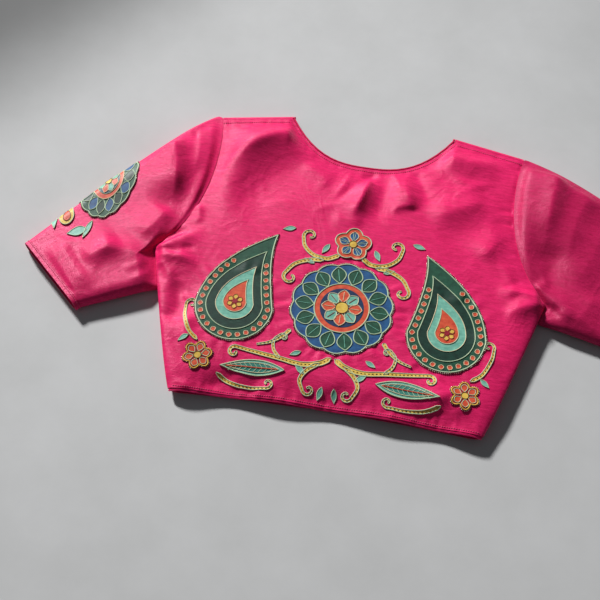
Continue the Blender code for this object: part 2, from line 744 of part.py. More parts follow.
def make_front_piping(name, grid, normals, side):
    """Along a front's neckline from the centre edge, then round the shoulder's fold."""
    turn = len(body_rows()) - 1
    neck_column = int(np.argmin(np.abs(np.abs(grid[turn, :, 0]) - HALF_NECK)))
    along_neck = slice(0, neck_column + 1)
    edge = grid[turn, along_neck]
    tangent = np.gradient(edge, axis=0)
    outward = np.cross(tangent, np.array([0.0, 0.0, -side]))
    neck_line = edge_line(edge, normals[turn, along_neck], outward)
    neck_line[:, 2] = edge[:, 2] + SEAM_GAP + PIPING_RADIUS
    fold = grid[turn + 1 :, neck_column]
    inwards = np.repeat([[-side, 0.0, 0.0]], len(fold), axis=0)
    fold_line = edge_line(fold, normals[turn + 1 :, neck_column], inwards)
    make_piping(name, trimmed(np.vstack([neck_line, fold_line]), 0.0, FOLD_PIPING_TRIM))


def make_sleeve(name, sleeve):
    grid = sleeve_grid(sleeve)
    side = sleeve["side"]
    axis = cuff_axis(sleeve)
    across = {"first_row": np.array([side, 0.0, 0.0]), "last_row": axis}
    normals = grid_normals(grid, closed=True, across=across) * -side
    cloth_wall(f"sleeve_{name}", grid, normals, CLOTH, SILK, closed=True)
    strip = np.array([grid[-1] + axis * SEAM_GAP, grid[-1] + axis * (SEAM_GAP + FACING_WIDTH)])
    end_normals = np.repeat(normals[-1:], 2, axis=0)
    cloth_wall(f"cuff_facing_{name}", strip, end_normals, FACING, SILK, closed=True)
    return grid, normals


def make_hooks():
    """Flat hooks between the lapped fronts, one above another up the centre."""
    for number in range(HOOK_COUNT):
        height = HOOK_FIRST + HOOK_STEP * number

        def fill(shape, height=height):
            bmesh.ops.create_cube(shape, size=1.0)
            bmesh.ops.scale(shape, vec=(HOOK_WIDTH, HOOK_LENGTH, HOOK_THICK), verts=shape.verts)
            place = (0.0, frame_y(height), CLOTH + SEAM_GAP + HOOK_THICK / 2)
            bmesh.ops.translate(shape, vec=place, verts=shape.verts)
            upright = [e for e in shape.edges if abs(e.verts[0].co.z - e.verts[1].co.z) > HOOK_THICK / 2]
            bmesh.ops.bevel(
                shape, geom=upright, offset=HOOK_LENGTH / 3, segments=2, affect="EDGES", profile=0.5
            )

        new_object(f"hook_{number + 1}", HOOK_STEEL, fill)


def lobed_outline(radius, form):
    """A round outline with lobes, as a medallion's or a flower's."""
    lobes, depth, points = form
    angle = np.linspace(0.0, 2 * math.pi, points, endpoint=False)
    reach = radius * (1.0 - depth * (1.0 - np.abs(np.cos(lobes * angle / 2.0))))
    return np.column_stack([reach * np.sin(angle), reach * np.cos(angle)])


def paisley_outline(size, points):
    """A mango-shaped drop: a round base whose top curls over to one side.

    Its proportions are shares of its size, which is the base's radius.
    """
    turn = np.linspace(-math.pi / 2, math.pi / 2, points // 2)
    base = [(size * math.cos(a - math.pi / 2), size * math.sin(a - math.pi / 2)) for a in turn]
    rise = np.linspace(0.0, 1.0, points // 4 + 1)[1:]
    right = [
        (size * (1.0 - 0.30 * s - 1.45 * s**2.2), size * 2.25 * s**0.95) for s in rise
    ]
    left = [
        (size * (-1.0 + 0.50 * s - 0.25 * s**4), size * 2.25 * s**1.10) for s in rise[:-1][::-1]
    ]
    return np.array(base + right + left)


def leaf_outline(length, width, points):
    """A pointed leaf along X."""
    share = np.linspace(0.0, 1.0, points // 2 + 1)
    half = width * np.sin(math.pi * share**0.85)
    upper = np.column_stack([length * (2.0 * share - 1.0), half])
    return np.vstack([upper, (upper * np.array([1.0, -1.0]))[-2:0:-1]])


def turned(outline, degrees):
    angle = math.radians(degrees)
    turn = np.array([[math.cos(angle), math.sin(angle)], [-math.sin(angle), math.cos(angle)]])
    return outline @ turn


def make_patch(name, outline, grid, normals, finish):
    """A patch on a panel: the panel's own points moved out, cut to the patch's outline."""
    plan = grid[..., :2]
    low, high = outline.min(0) - PATCH_MARGIN, outline.max(0) + PATCH_MARGIN
    inside = np.all((plan > low) & (plan < high), axis=-1)
    corner = inside[:-1, :-1] | inside[1:, :-1] | inside[:-1, 1:] | inside[1:, 1:]
    under = grid + normals * PATCH_LIFT
    over = grid + normals * (PATCH_LIFT + PATCH_CLOTH)

    def fill(shape):
        sheet_faces(shape, over, under, corner, closed=False)
        face_out(shape)

    patch = new_object(name, finish, fill)

    def fill_cutter(shape):
        low_z = grid[..., 2].min() - CUTTER_MARGIN
        high_z = grid[..., 2].max() + CUTTER_MARGIN
        base = [shape.verts.new((*p, low_z)) for p in outline]
        face = shape.faces.new(base)
        raised = bmesh.ops.extrude_face_region(shape, geom=[face])["geom"]
        moved = [v for v in raised if isinstance(v, bmesh.types.BMVert)]
        bmesh.ops.translate(shape, vec=(0.0, 0.0, high_z - low_z), verts=moved)
        face_out(shape)

    cutter = new_object(f"{name}_cutter", finish, fill_cutter)
    cutter.hide_render = True
    cutter.display_type = "WIRE"
    cut = patch.modifiers.new("outline", "BOOLEAN")
    cut.operation = "INTERSECT"
    cut.object = cutter


def make_back_patches(grid, normals):
    def place(outline, x, y):
        return outline + np.array([x, frame_y(y)])

    x, y, radius = MEDALLION
    outline = place(lobed_outline(radius, MEDALLION_LOBES), x, y)
    make_patch("patch_medallion", outline, grid, normals, PATCH_BLUE)
    x, y, radius = LOTUS
    outline = place(lobed_outline(radius, LOTUS_LOBES), x, y)
    make_patch("patch_lotus", outline, grid, normals, PATCH_CORAL)
    for name, side in (("left", -1), ("right", 1)):
        mirror = np.array([side, 1.0])
        x, y, size, turn = PAISLEY
        outline = place(turned(paisley_outline(size, PAISLEY_POINTS), turn), x, y) * mirror
        make_patch(f"patch_paisley_{name}", outline, grid, normals, PATCH_GREEN)
        x, y, size, turn = FLOWER
        outline = place(turned(lobed_outline(size, FLOWER_LOBES), turn), x, y) * mirror
        make_patch(f"patch_flower_{name}", outline, grid, normals, PATCH_CORAL)
        x, y, size, turn = LEAF
        leaf = leaf_outline(size, size * LEAF_SLIMNESS, LEAF_POINTS)
        outline = place(turned(leaf, turn), x, y) * mirror
        make_patch(f"patch_leaf_{name}", outline, grid, normals, PATCH_TEAL)


def make_sleeve_patch(name, grid, normals):
    """A rosette on the sleeve's upper side, running off over its folded edge."""
    station, from_fold, radius = SLEEVE_ROSETTE
    upper = grid.shape[1] // 2 + 1
    row = int(np.argmin(np.abs(np.array(SLEEVE_STATIONS) - station)))
    low, top = grid[row, 0, :2], grid[row, upper - 1, :2]
    centre = top + unit(low - top) * from_fold
    outline = lobed_outline(radius, ROSETTE_LOBES) + centre
    make_patch(f"patch_sleeve_{name}", outline, grid[:, :upper], normals[:, :upper], PATCH_GREEN)


def clear_scene():
    for old in list(bpy.data.objects):
        bpy.data.objects.remove(old)


def main():
    clear_scene()
    back, back_normals = make_back()
    make_hem_facing("hem_facing_back", back[0], back_normals[0], HEM_ROLL)
    make_back_piping(back, back_normals)
    for name, side in (("left", -1), ("right", 1)):
        front, front_normals = make_front(f"front_{name}", side)
        make_front_piping(f"neck_piping_front_{name}", front, front_normals, side)
    for name, sleeve in SLEEVES.items():
        grid, normals = make_sleeve(name, sleeve)
        make_sleeve_patch(name, grid, normals)
    make_hooks()
    make_back_patches(back, back_normals)


main()
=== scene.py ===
import math

import bpy
import numpy as np
from bpy.props import FloatProperty, FloatVectorProperty, PointerProperty
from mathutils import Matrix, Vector
from mathutils.bvhtree import BVHTree
from mathutils.geometry import delaunay_2d_cdt


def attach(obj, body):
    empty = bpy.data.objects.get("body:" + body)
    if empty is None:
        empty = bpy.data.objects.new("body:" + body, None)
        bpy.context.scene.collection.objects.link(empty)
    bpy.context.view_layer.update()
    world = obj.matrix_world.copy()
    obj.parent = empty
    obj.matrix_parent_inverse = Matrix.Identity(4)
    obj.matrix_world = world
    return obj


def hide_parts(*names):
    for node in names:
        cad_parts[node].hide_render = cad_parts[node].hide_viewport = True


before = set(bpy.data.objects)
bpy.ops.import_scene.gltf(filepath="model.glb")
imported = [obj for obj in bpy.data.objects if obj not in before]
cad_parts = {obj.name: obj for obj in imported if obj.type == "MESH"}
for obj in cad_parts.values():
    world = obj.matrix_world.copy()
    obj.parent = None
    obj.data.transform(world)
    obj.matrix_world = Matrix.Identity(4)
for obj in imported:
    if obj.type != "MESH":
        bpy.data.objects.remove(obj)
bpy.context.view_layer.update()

bl_info = {
    "name": "Silk blouse, laid flat",
    "version": (1, 0, 0),
    "blender": (4, 5, 0),
    "location": "3D View > Sidebar > Blouse",
    "description": "Dresses a flat-laid silk blouse: cloth, trims, applied motifs and studio",
    "category": "Object",
}

MM = 0.001
SHARP_ANGLE = math.radians(50)

# The cut, as the solids have it. Plan heights y are measured from the hem.
HALF_WAIST = 0.172
HALF_CHEST = 0.226
HALF_ACROSS = 0.177
HALF_SHOULDER = 0.186
HALF_NECK = 0.100
SIDE_LENGTH = 0.173
TIP_LENGTH = 0.372
BODY_LENGTH = 0.388
BACK_NECK_DEPTH = 0.058
FRONT_NECK_DEPTH = 0.150
HEM_ARCH = 0.006
FRONT_HEM_RAISE = 0.002
FRAME_MIDDLE = 0.195

SIDE_POWER = 0.9
ARMHOLE_POWER = 3.5
SHOULDER_POWER = 6.0
BACK_NECK_POWER = 2.7
FRONT_NECK_POWER = 2.5

# Heights above the surface
BODY_RISE = 0.0175
ARMHOLE_RISE = 0.0150
SHOULDER_RISE = 0.0110
SHOULDER_FOLD = SHOULDER_RISE / 2
NECK_RISE = 0.0105
SIDE_SEAM_RISE = {-1: 0.0100, 1: 0.0120}
HEM_SEAM_DROP = 0.0030
HEM_SEAM_REACH = 0.045
ROUND_POWER = 1.3
BACK_ROUND = 0.030
FRONT_ROUND = 0.014
HEM_REACH = 0.030
UNDER_SHARE = 0.30  # how much of the upper side's folds the under side has
NECK_REACH = 0.026
ARMHOLE_REACH = 0.026
ARMHOLE_START = 0.030
FRONT_ARMHOLE_START = 0.022
SEAM_GAP = 0.0003
LAP_HALF = 0.010
LAP_RAMP = 0.018
LAP_RISE = 0.0030
FACING_WIDTH = 0.0060
SEAM_TUCK = 0.0002  # how far a sleeve's head lies under the body's cloth
SEAM_TUCK_REACH = 0.003

# Sleeves: shares of their length, then roundings and heights of their folded edges, in metres
HEAD_SHARE = 0.22
CUFF_SHARE = 0.5
HEAD_LOW_ROUND = 0.006
LOW_MIDDLE = 0.007
HEAD_LOW_MIDDLE = 0.0045
TOP_MIDDLE = 0.0065
SLEEVE_UNDER_SEAM = 0.001
FOLD_CLEAR = 0.004  # the strip along each folded edge without folds
FOLD_FADE = 0.014
END_FADE = 0.05
SLEEVE_SPAN = 0.16  # the width that sets how many points cross a sleeve
ROLL_AWAY = 0.013  # the cloth's low roll beside the armhole seam, and its heights
ROLL_REACH = 0.018
ROLL_LOW = 0.0006
ROLL_HIGH = 0.0030

# Gathers: their height, the spacing of their bends and how far they reach
MOTIF_GATHERS = (0.0009, 0.0055, 0.010)
TOP_GATHERS = (0.00045, 0.0042, 0.015)
HEM_GATHERS = (0.00085, 0.0046, 0.015)
ARMHOLE_GATHERS = (0.00070, 0.0055, 0.016)
ARMHOLE_DIP = 0.0008
DOUBLED_CLOTH = 0.0002  # the height of the turned cloth under the shoulder seam

# Turned edges of the hem and the cuffs
HEM_ROLL = 0.0012
BACK_HEM_THICK = 0.0020
HIDDEN_HEM_THICK = 0.0018
CUFF_THICK = 0.0018

# Height of the back's hem along the hem: x, height
HEM_WAVE = (
    (-0.172, 0.0145),
    (-0.104, 0.0080),
    (-0.052, 0.0125),
    (0.006, 0.0085),
    (0.070, 0.0130),
    (0.122, 0.0095),
    (0.172, 0.0155),
)

RIDGE_POWER = 1.5  # how rounded a fold's section is
TROUGH_POWER = 1.9

# Folds and creases, in millimetres. Each is a ridge, or a trough where its height is negative,
# from a start to an end point, bowed sideways at the middle, with its own half width on the left
# and on the right of its direction.
# x0, y0, x1, y1, bow, left width, right width, height, share over which it starts, and ends
BACK_FOLDS = (
    (-181, 237, -74, 367, 30, 60, 24, 15.5, 0.25, 0.2),
    (-148, 229, -55, 325, 12, 22, 34, -3, 0.3, 0.3),
    (69, 358, 184, 369, -11, 30, 13, 8, 0.2, 0.15),
    (72, 332, 182, 342, -15, 12, 28, -2, 0.2, 0.2),
    (7, 310, -9, 239, 1, 11, 18, 7.5, 0.12, 0.4),
    (25, 318, 16, 237, 3, 11, 14, -3, 0.12, 0.4),
    (41, 330, 65, 268, -3, 10, 15, 7, 0.12, 0.35),
    (68, 329, 95, 276, -2, 14, 22, -2.5, 0.15, 0.35),
    (77, 262, 152, 302, -2, 30, 14, 5, 0.35, 0.3),
    (89, 233, 160, 273, -3, 16, 28, -1.5, 0.35, 0.3),
    (174, 262, 147, 214, 0, 12, 18, 5.5, 0.25, 0.35),
    (-224, 171, -172, 208, -1, 7, 10, 6.5, 0.1, 0.5),
    (-222, 159, -168, 154, 6, 8, 9, 5.5, 0.12, 0.5),
    (223, 171, 177, 148, -2, 13, 8, 6.5, 0.1, 0.5),
    (220, 181, 166, 182, 1, 10, 8, 5.5, 0.12, 0.5),
    (-24, 6, 24, 48, 0, 18, 12, 5, 0.15, 0.45),
    (24, 5, 58, 42, 3, 14, 12, 4.5, 0.12, 0.45),
    (92, 2, 144, 52, 3, 20, 11, 8, 0.12, 0.4),
    (122, 0, 159, 42, 1, 13, 9, 5.5, 0.15, 0.4),
    (-118, 0, -74, 36, 4, 15, 12, 4.5, 0.15, 0.45),
)

# Finer creases that only the looks have, in the same columns
BACK_CREASES = (
    (-172, 250, -82, 358, 24, 10, 6, 1.4, 0.3, 0.25),
    (8, 311, -7, 250, 2, 3, 4, 1.5, 0.1, 0.4),
    (15, 323, -36, 259, -1, 5, 6, -2, 0.1, 0.45),
    (35, 266, 72, 278, 2, 8, 4, 2, 0.25, 0.35),
    (58, 330, 84, 280, -2, 7, 7, -1.8, 0.15, 0.4),
    (156, 288, 178, 289, 1, 3, 3, -1.3, 0.5, 0.05),
    (155, 271, 180, 271, 1, 3, 3, -1.3, 0.5, 0.05),
    (-220, 176, -189, 205, 3, 4, 4, -2.6, 0.08, 0.35),
    (-189, 240, -184, 209, 3, 4, 8, 2.2, 0.3, 0.3),
    (-226, 170, -191, 166, 2, 4, 4, -2.4, 0.05, 0.35),
    (-196, 173, -179, 178, 1, 3, 3, -1.3, 0.3, 0.3),
    (-217, 153, -204, 121, 1, 6, 6, -2.2, 0.3, 0.4),
    (-205, 90, -180, 86, 1, 4, 4, -2, 0.05, 0.5),
    (-167, 12, -149, 4, 0, 4, 4, 1.5, 0.3, 0.2),
    (-140, 9, -98, 34, -2, 8, 8, -2.2, 0.3, 0.3),
    (-73, 6, -60, 28, 0, 6, 8, 2, 0.1, 0.4),
    (-136, 285, -128, 255, 1, 2.5, 3, 0.45, 0.4, 0.4),
    (-119, 282, -112, 263, -1, 2, 3, 0.35, 0.4, 0.4),
    (178, 182, 197, 198, 2, 3, 3, -1.6, 0.3, 0.3),
    (185, 171, 203, 179, 1, 3, 3, -1.6, 0.3, 0.3),
    (-33, 250, 10, 247, -6, 9, 9, 2, 0.3, 0.3),
    (-80, 314, -38, 284, 8, 9, 12, 2, 0.3, 0.3),
    (-17, 317, -35, 265, 2, 5, 4, 1.4, 0.15, 0.5),
    (32, 326, 46, 276, 2, 4, 5, 1.6, 0.15, 0.5),
    (95, 328, 157, 327, -9, 7, 5, 1.6, 0.3, 0.3),
    (105, 300, 141, 315, 2, 6, 5, 1.2, 0.3, 0.3),
    (-118, 248, -64, 252, 5, 6, 6, 0.9, 0.4, 0.4),
    (-56, 247, -9, 267, 5, 5, 5, 1, 0.3, 0.4),
    (-169, 111, -157, 37, -5, 8, 7, 2.6, 0.3, 0.4),
    (-191, 150, -184, 73, 4, 16, 12, -6.2, 0.4, 0.35),
    (-218, 155, -190, 126, 3, 5, 12, 2.6, 0.15, 0.5),
    (-193, 139, -172, 95, 6, 7, 6, 2, 0.2, 0.4),
    (167, 220, 187, 178, 5, 6, 6, 2, 0.3, 0.3),
    (145, 127, 176, 64, 7, 9, 9, 2, 0.3, 0.4),
    (-183, 70, -153, 28, -3, 8, 8, -1.6, 0.3, 0.4),
)

SLEEVES = {
    "left": {
        "side": -1,
        "cuff_low": (-0.2965, 0.0810),
        "cuff_top": (-0.3770, 0.1550),
        "bow": 0.0215,
        "bow_power": 0.35,
        "tuck": 0.124,
        "rise": 0.0175,
        "cuff_rise": 0.0160,
        "low_round": 0.016,
        "top_round": 0.009,
        "cut": (0.538, 0.286),
        "folds": (
            (-242, 338, -220, 228, 8, 15, 40, 13, 0.3, 0.4),
            (-213, 349, -204, 270, 7, 9, 12, 3, 0.4, 0.4),
            (-220, 228, -249, 178, 3, 13, 24, 5, 0.25, 0.35),
            (-305, 136, -264, 173, 2, 22, 13, 5.5, 0.3, 0.35),
            (-298, 145, -226, 149, 13, 14, 14, 4, 0.3, 0.35),
            (-342, 168, -282, 102, -2, 14, 22, 4, 0.3, 0.3),
        ),
    },
    "right": {
        "side": 1,
        "cuff_low": (0.3660, 0.1160),
        "cuff_top": (0.4300, 0.2220),
        "bow": 0.0440,
        "bow_power": 0.80,
        "tuck": 0.152,
        "rise": 0.0165,
        "cuff_rise": 0.0150,
        "low_round": 0.014,
        "top_round": 0.009,
        "cut": (0.478, 0.283),
        "folds": (
            (229, 367, 215, 230, -2, 17, 34, 11.5, 0.2, 0.5),
            (276, 343, 246, 214, -11, 18, 34, 6, 0.2, 0.45),
            (231, 255, 229, 175, -2, 17, 17, -3.5, 0.3, 0.35),
            (207, 197, 257, 150, 4, 13, 8, 4.5, 0.15, 0.3),
            (257, 146, 285, 195, 2, 16, 18, 3, 0.3, 0.3),
            (287, 289, 250, 191, 3, 20, 34, 3.5, 0.3, 0.35),
        ),
    },
}

# Creases over each sleeve's upper side, in the same columns as the back's
SLEEVE_CREASES = {
    "left": (
        (-218, 354, -208, 324, 1, 3, 3, -1, 0.3, 0.3),
        (-231, 310, -228, 266, -1, 4, 5, 1, 0.3, 0.3),
        (-258, 136, -228, 157, -3, 4, 5, 1.2, 0.3, 0.4),
        (-245, 122, -221, 148, -3, 4, 5, 1.2, 0.3, 0.4),
        (-355, 171, -307, 163, -4, 5, 5, 0.8, 0.3, 0.3),
    ),
    "right": (
        (217, 328, 228, 325, -1, 2, 2, -0.8, 0.3, 0.3),
        (214, 177, 246, 154, 4, 4, 4, -1.6, 0.2, 0.3),
        (210, 227, 225, 190, 3, 4, 5, 1.2, 0.3, 0.3),
        (245, 348, 264, 319, 3, 4, 5, 1, 0.3, 0.3),
    ),
}

# Yarns of the silk and of the applied patches, and the size of the silk's creases, in metres
SILK_YARNS = {"Streak Length": 0.0055, "Streak Width": 0.0006, "Yarn Pitch": 0.0005}
APPLIQUE_YARNS = {"Streak Length": 0.006, "Streak Width": 0.0005, "Yarn Pitch": 0.0004}
SILK_CREASE = 0.052

# Painted shade: how bright each sleeve's silk colours are made beside the body's; the right sleeve's
# darker copy stands in for the light it takes less of
SLEEVE_PAINTED_SHADE = {"left": 1.0, "right": 0.66}

# Shapes of the motifs, as the solids have them where a solid stands under them
MEDALLION = (0.0, 0.128, 0.058)
LOTUS = (0.0, 0.2125, 0.022)
PAISLEY = (0.1200, 0.112, 0.044)
FLOWER = (0.1480, 0.044, 0.0165, 8.0)
LEAF = (0.0860, 0.0395, 0.036, -4.0)
SLEEVE_ROSETTE = (0.58, 0.010, 0.044)  # station, distance from the fold, radius
LOTUS_RIB_LEAN = 5.2  # degrees from a petal's middle to each of its two ribs
ROUND_LOBES = (14, 0.05)  # how many lobes, and their depth
FLOWER_LOBES = (6, 0.30)
MOTIF_CELL = 0.0024
MOTIF_BASE = (0.0003, 0.0010)
MOTIF_LAYER = 0.00022
MOTIF_OVERLAP = 0.0003  # how far an upper layer reaches into the one under it
CORD_CELL = 0.0022
CORD_SIDES = 6
CURVE_STEPS = 8  # points of a stem's line for each given point
CURL_STEP = 0.0015

# Beads and stitches, in metres
BEAD_HEIGHT = 0.0006
BEAD_OUT = 0.0012  # from the edge of a motif out to its beads
FLOWER_BEAD_OUT = 0.0011
BEAD_RADIUS = 0.0008
STITCH_HEIGHT = 0.0003
SEAM_STITCHES = {"Pitch": 0.0026, "Stitch Length": 0.0018, "Thread Radius": 0.00042}
STEM_STITCHES = {"Pitch": 0.0042, "Stitch Length": 0.0022, "Thread Radius": 0.00036}

# Scrolling stems on the right half, in millimetres: the points of the stem, the radius and the
# turn of its curl, and its width
VINES = (
    (((2, 64), (14, 56), (34, 52), (58, 55), (84, 58), (108, 61)), 6.5, -290.0, 7.0),
    (((152, 62), (164, 72), (172, 90), (174, 106)), 6.5, 290.0, 5.0),
    (((12, 196), (26, 189), (42, 191), (54, 201), (58, 214)), 8.0, 290.0, 6.0),
    (((30, 186), (46, 184), (62, 176), (71, 163)), 8.5, -290.0, 6.0),
    (((52, 92), (60, 82), (72, 73), (86, 68)), 0.0, 0.0, 5.0),
    (((14, 56), (26, 46), (32, 34), (27, 22)), 6.5, -290.0, 5.5),
    (((58, 55), (66, 64), (68, 76), (62, 84)), 5.0, 270.0, 4.0),
    (((124, 28), (108, 20), (88, 17), (66, 18)), 6.0, -280.0, 5.0),
)

# Small leaves beside the stems: x, y, turn in degrees, half length
SPRIG_LEAVES = (
    (30, 202, 62, 8),
    (46, 183, -24, 7),
    (76, 222, 15, 8),
    (168, 62, 40, 7),
    (34, 46, -40, 8),
    (8, 22, 80, 8),
    (42, 64, 28, 7),
)

# The camera, fitted to the photograph
CAMERA_TARGET = (-0.0497, -0.0548, 0.0)
CAMERA_AZIMUTH = 9.76
CAMERA_ELEVATION = 61.41
CAMERA_DISTANCE = 1.486
CAMERA_SENSOR = 36.0
CAMERA_LENS = 78.0

# The floor's painted shadow towards one corner, its painted light that falls off away from a bright
# spot, and the two lights
PAINTED_SHADOW_WAY = (-0.75, 0.66, 0.0)  # the direction in which the floor darkens
PAINTED_SHADOW_START = 0.36
PAINTED_SHADOW_END = 0.58
PAINTED_SHADOW_LEAST = 0.30
PAINTED_LIGHT_SPOT = (-0.22, 0.20, 0.0)
PAINTED_LIGHT_REACH = (0.15, 0.75)  # distances from the bright spot over which the floor fades
PAINTED_LIGHT_LEAST = 0.79
KEY_TURN = 28.0  # degrees to the left of the photograph's upward direction
KEY_RISE = 29.0
KEY_COLOUR = (1.0, 0.985, 0.965)
FILL_COLOUR = (0.93, 0.96, 1.0, 1.0)


def smooth(t):
    """Eases from 0 to 1."""
    t = np.clip(t, 0.0, 1.0)
    return t * t * (3.0 - 2.0 * t)


def bell(distance, reach):
    """1 at no distance, fading to 0."""
    return np.exp(-((distance / reach) ** 2))


def unit(vectors):
    return vectors / np.maximum(np.linalg.norm(vectors, axis=-1, keepdims=True), 1e-12)


def eased_table(rows, x):
    """A smooth curve through a table's rows of (x, value), level at each row."""
    rows = np.array(rows)
    x = np.clip(x, rows[0, 0], rows[-1, 0])
    k = np.clip(np.searchsorted(rows[:, 0], x) - 1, 0, len(rows) - 2)
    start, end = rows[k], rows[k + 1]
    share = smooth((x - start[..., 0]) / (end[..., 0] - start[..., 0]))
    return start[..., 1] + (end[..., 1] - start[..., 1]) * share


def frame_y(y):
    """A height above the hem, as a place along the frame's Y."""
    return y - FRAME_MIDDLE


def half_width(y):
    """Half the body's width at a height y on its side: side seam, then armhole."""
    y = np.asarray(y, float)
    side = np.clip(y / SIDE_LENGTH, 0.0, 1.0)
    arm = np.clip((y - SIDE_LENGTH) / (TIP_LENGTH - SIDE_LENGTH), 0.0, 1.0)
    below = HALF_WAIST + (HALF_CHEST - HALF_WAIST) * side**SIDE_POWER
    above = (
        HALF_ACROSS
        + (HALF_CHEST - HALF_ACROSS) * (1.0 - arm) ** ARMHOLE_POWER
        + (HALF_SHOULDER - HALF_ACROSS) * arm**SHOULDER_POWER
    )
    return np.where(y <= SIDE_LENGTH, below, above)


def shoulder_line(x):
    share = (np.abs(x) - HALF_NECK) / (HALF_SHOULDER - HALF_NECK)
    return BODY_LENGTH + (TIP_LENGTH - BODY_LENGTH) * share


def top_line(x, depth, power):
    """A panel's upper edge: neckline, then the shoulder less its fold."""
    neck_bottom = BODY_LENGTH - SHOULDER_FOLD - depth
    neck = neck_bottom + depth * np.clip(np.abs(x) / HALF_NECK, 0.0, 1.0) ** power
    return np.where(np.abs(x) < HALF_NECK, neck, shoulder_line(x) - SHOULDER_FOLD)


def back_top(x):
    return top_line(x, BACK_NECK_DEPTH, BACK_NECK_POWER)


def front_top(x):
    return top_line(x, FRONT_NECK_DEPTH, FRONT_NECK_POWER)


def hem_line(x):
    return HEM_ARCH * (1.0 - (x / HALF_WAIST) ** 2)


def fold_height(x, y, folds):
    """The summed height of a table of folds at plan points."""
    total = np.zeros(np.broadcast(x, y).shape)
    for row in folds:
        x0, y0, x1, y1, bow, left, right, height = (v * MM for v in row[:8])
        start, end = row[8:]
        length = math.hypot(x1 - x0, y1 - y0)
        along_x, along_y = (x1 - x0) / length, (y1 - y0) / length
        share = ((x - x0) * along_x + (y - y0) * along_y) / length
        inside = np.clip(share, 0.0, 1.0)
        aside = (y - y0) * along_x - (x - x0) * along_y - bow * 4.0 * inside * (1.0 - inside)
        width = np.where(aside > 0.0, left, right)
        window = smooth(share / start) * smooth((1.0 - share) / end)
        power = RIDGE_POWER if height > 0.0 else TROUGH_POWER
        total += height * window * np.exp(-(np.abs(aside / width) ** power))
    return total


def back_height(x, y):
    """Height of the back's outer side over plan points, before its sides round down."""
    x, y = np.asarray(x, float), np.asarray(y, float)
    z = BODY_RISE + fold_height(x, y, BACK_FOLDS)
    to_armhole = half_width(y) - np.abs(x)
    near_armhole = bell(to_armhole, ARMHOLE_REACH) * smooth((y - SIDE_LENGTH) / ARMHOLE_START)
    z = z + (ARMHOLE_RISE - z) * near_armhole
    rim = np.where(np.abs(x) < HALF_NECK, NECK_RISE, SHOULDER_RISE)
    z = z + (rim - z) * bell(back_top(x) - y, NECK_REACH)
    z = z + (eased_table(HEM_WAVE, x) - z) * bell(y - hem_line(x), HEM_REACH)
    quiet_top = smooth((back_top(x) - y) / 0.012)
    quiet_hem = smooth((y - hem_line(x)) / 0.010)
    z = z + fold_height(x, y, BACK_CREASES) * quiet_top * quiet_hem
    return z + seam_puckers(x, y) + motif_puckers(x, y)


def motif_puckers(x, y):
    """Small puckers in the cloth that run out from the rounded edges of the larger motifs."""
    total = 0.0
    left_paisley = (-PAISLEY[0], *PAISLEY[1:])
    for seed, (middle_x, middle_y, radius) in enumerate((MEDALLION, PAISLEY, left_paisley)):
        away = np.hypot(x - middle_x, y - middle_y) - radius
        round_edge = np.arctan2(y - middle_y, x - middle_x) * radius
        start = smooth(away / 0.003)
        total = total + gathers(round_edge, seed, away - 0.006, MOTIF_GATHERS) * start
    return total


def seam_puckers(x, y):
    """Small gathers along the back's seams, and the doubled cloth at its shoulder seam."""
    below_top = back_top(x) - y
    above_hem = y - hem_line(x)
    to_armhole = half_width(y) - np.abs(x)
    on_shoulder = smooth((np.abs(x) - HALF_NECK) / 0.004)
    doubled = DOUBLED_CLOTH * on_shoulder * (1.0 - smooth((below_top - 0.0050) / 0.0014))
    doubled = doubled * smooth(below_top / 0.002)
    at_top = gathers(x, 3, below_top, TOP_GATHERS) * smooth(below_top / 0.005)
    at_hem = gathers(x, 5, above_hem, HEM_GATHERS) * smooth(above_hem / 0.007)
    beside = smooth((y - SIDE_LENGTH) / ARMHOLE_START)
    at_armhole = gathers(y + 0.25 * x, 8, to_armhole, ARMHOLE_GATHERS)
    at_armhole = at_armhole * beside * smooth(to_armhole / 0.004)
    dip = -ARMHOLE_DIP * bell(to_armhole, 0.004) * beside
    return doubled + at_top + at_hem + at_armhole + dip


def gathers(place, seed, away, sizes):
    """Small uneven gathers along a seam or an edge, lower with the distance away from it."""
    height, spacing, reach = sizes
    return height * uneven(place, spacing, seed) * bell(away, reach)


def uneven(place, spacing, seed):
    """A smooth wandering line between -1 and 1, with bends about spacing apart."""
    values = np.random.default_rng(seed).uniform(-1.0, 1.0, 512)
    at = np.asarray(place) / spacing + 256.0
    k = np.floor(at).astype(int)
    first, second = values[k % 512], values[(k + 1) % 512]
    return first + (second - first) * smooth(at - k)


def body_rows(side_steps, arm_steps, start=0.0):
    """Heights of the body's rows up its side, with the underarm on a row."""
    side = np.linspace(start, SIDE_LENGTH, side_steps + 1)[:-1]
    armhole = np.linspace(SIDE_LENGTH, TIP_LENGTH - SHOULDER_FOLD, arm_steps + 1)
    return np.concatenate([side, armhole])


def quarter(steps):
    return np.linspace(0.0, math.pi / 2, steps + 1)


def side_edge_height(rows, side, start, low):
    """Height of a panel's outer edge: the side seam's, then low or high along the armhole."""
    seam = SIDE_SEAM_RISE[side] - HEM_SEAM_DROP * (1.0 - smooth(rows / HEM_SEAM_REACH))
    return seam + (low - seam) * smooth((rows - SIDE_LENGTH) / start)


def neck_split(columns, reach, edge):
    """Column places from a centre edge out to reach, with one column exactly at the neck point."""
    inner = max(2, round(columns * (HALF_NECK - edge) / (reach - edge)))
    to_neck = np.linspace(edge, HALF_NECK, inner + 1)
    beyond = np.linspace(HALF_NECK, reach, columns - inner + 1)
    return (np.concatenate([to_neck, beyond[1:]]) - edge) / (reach - edge)


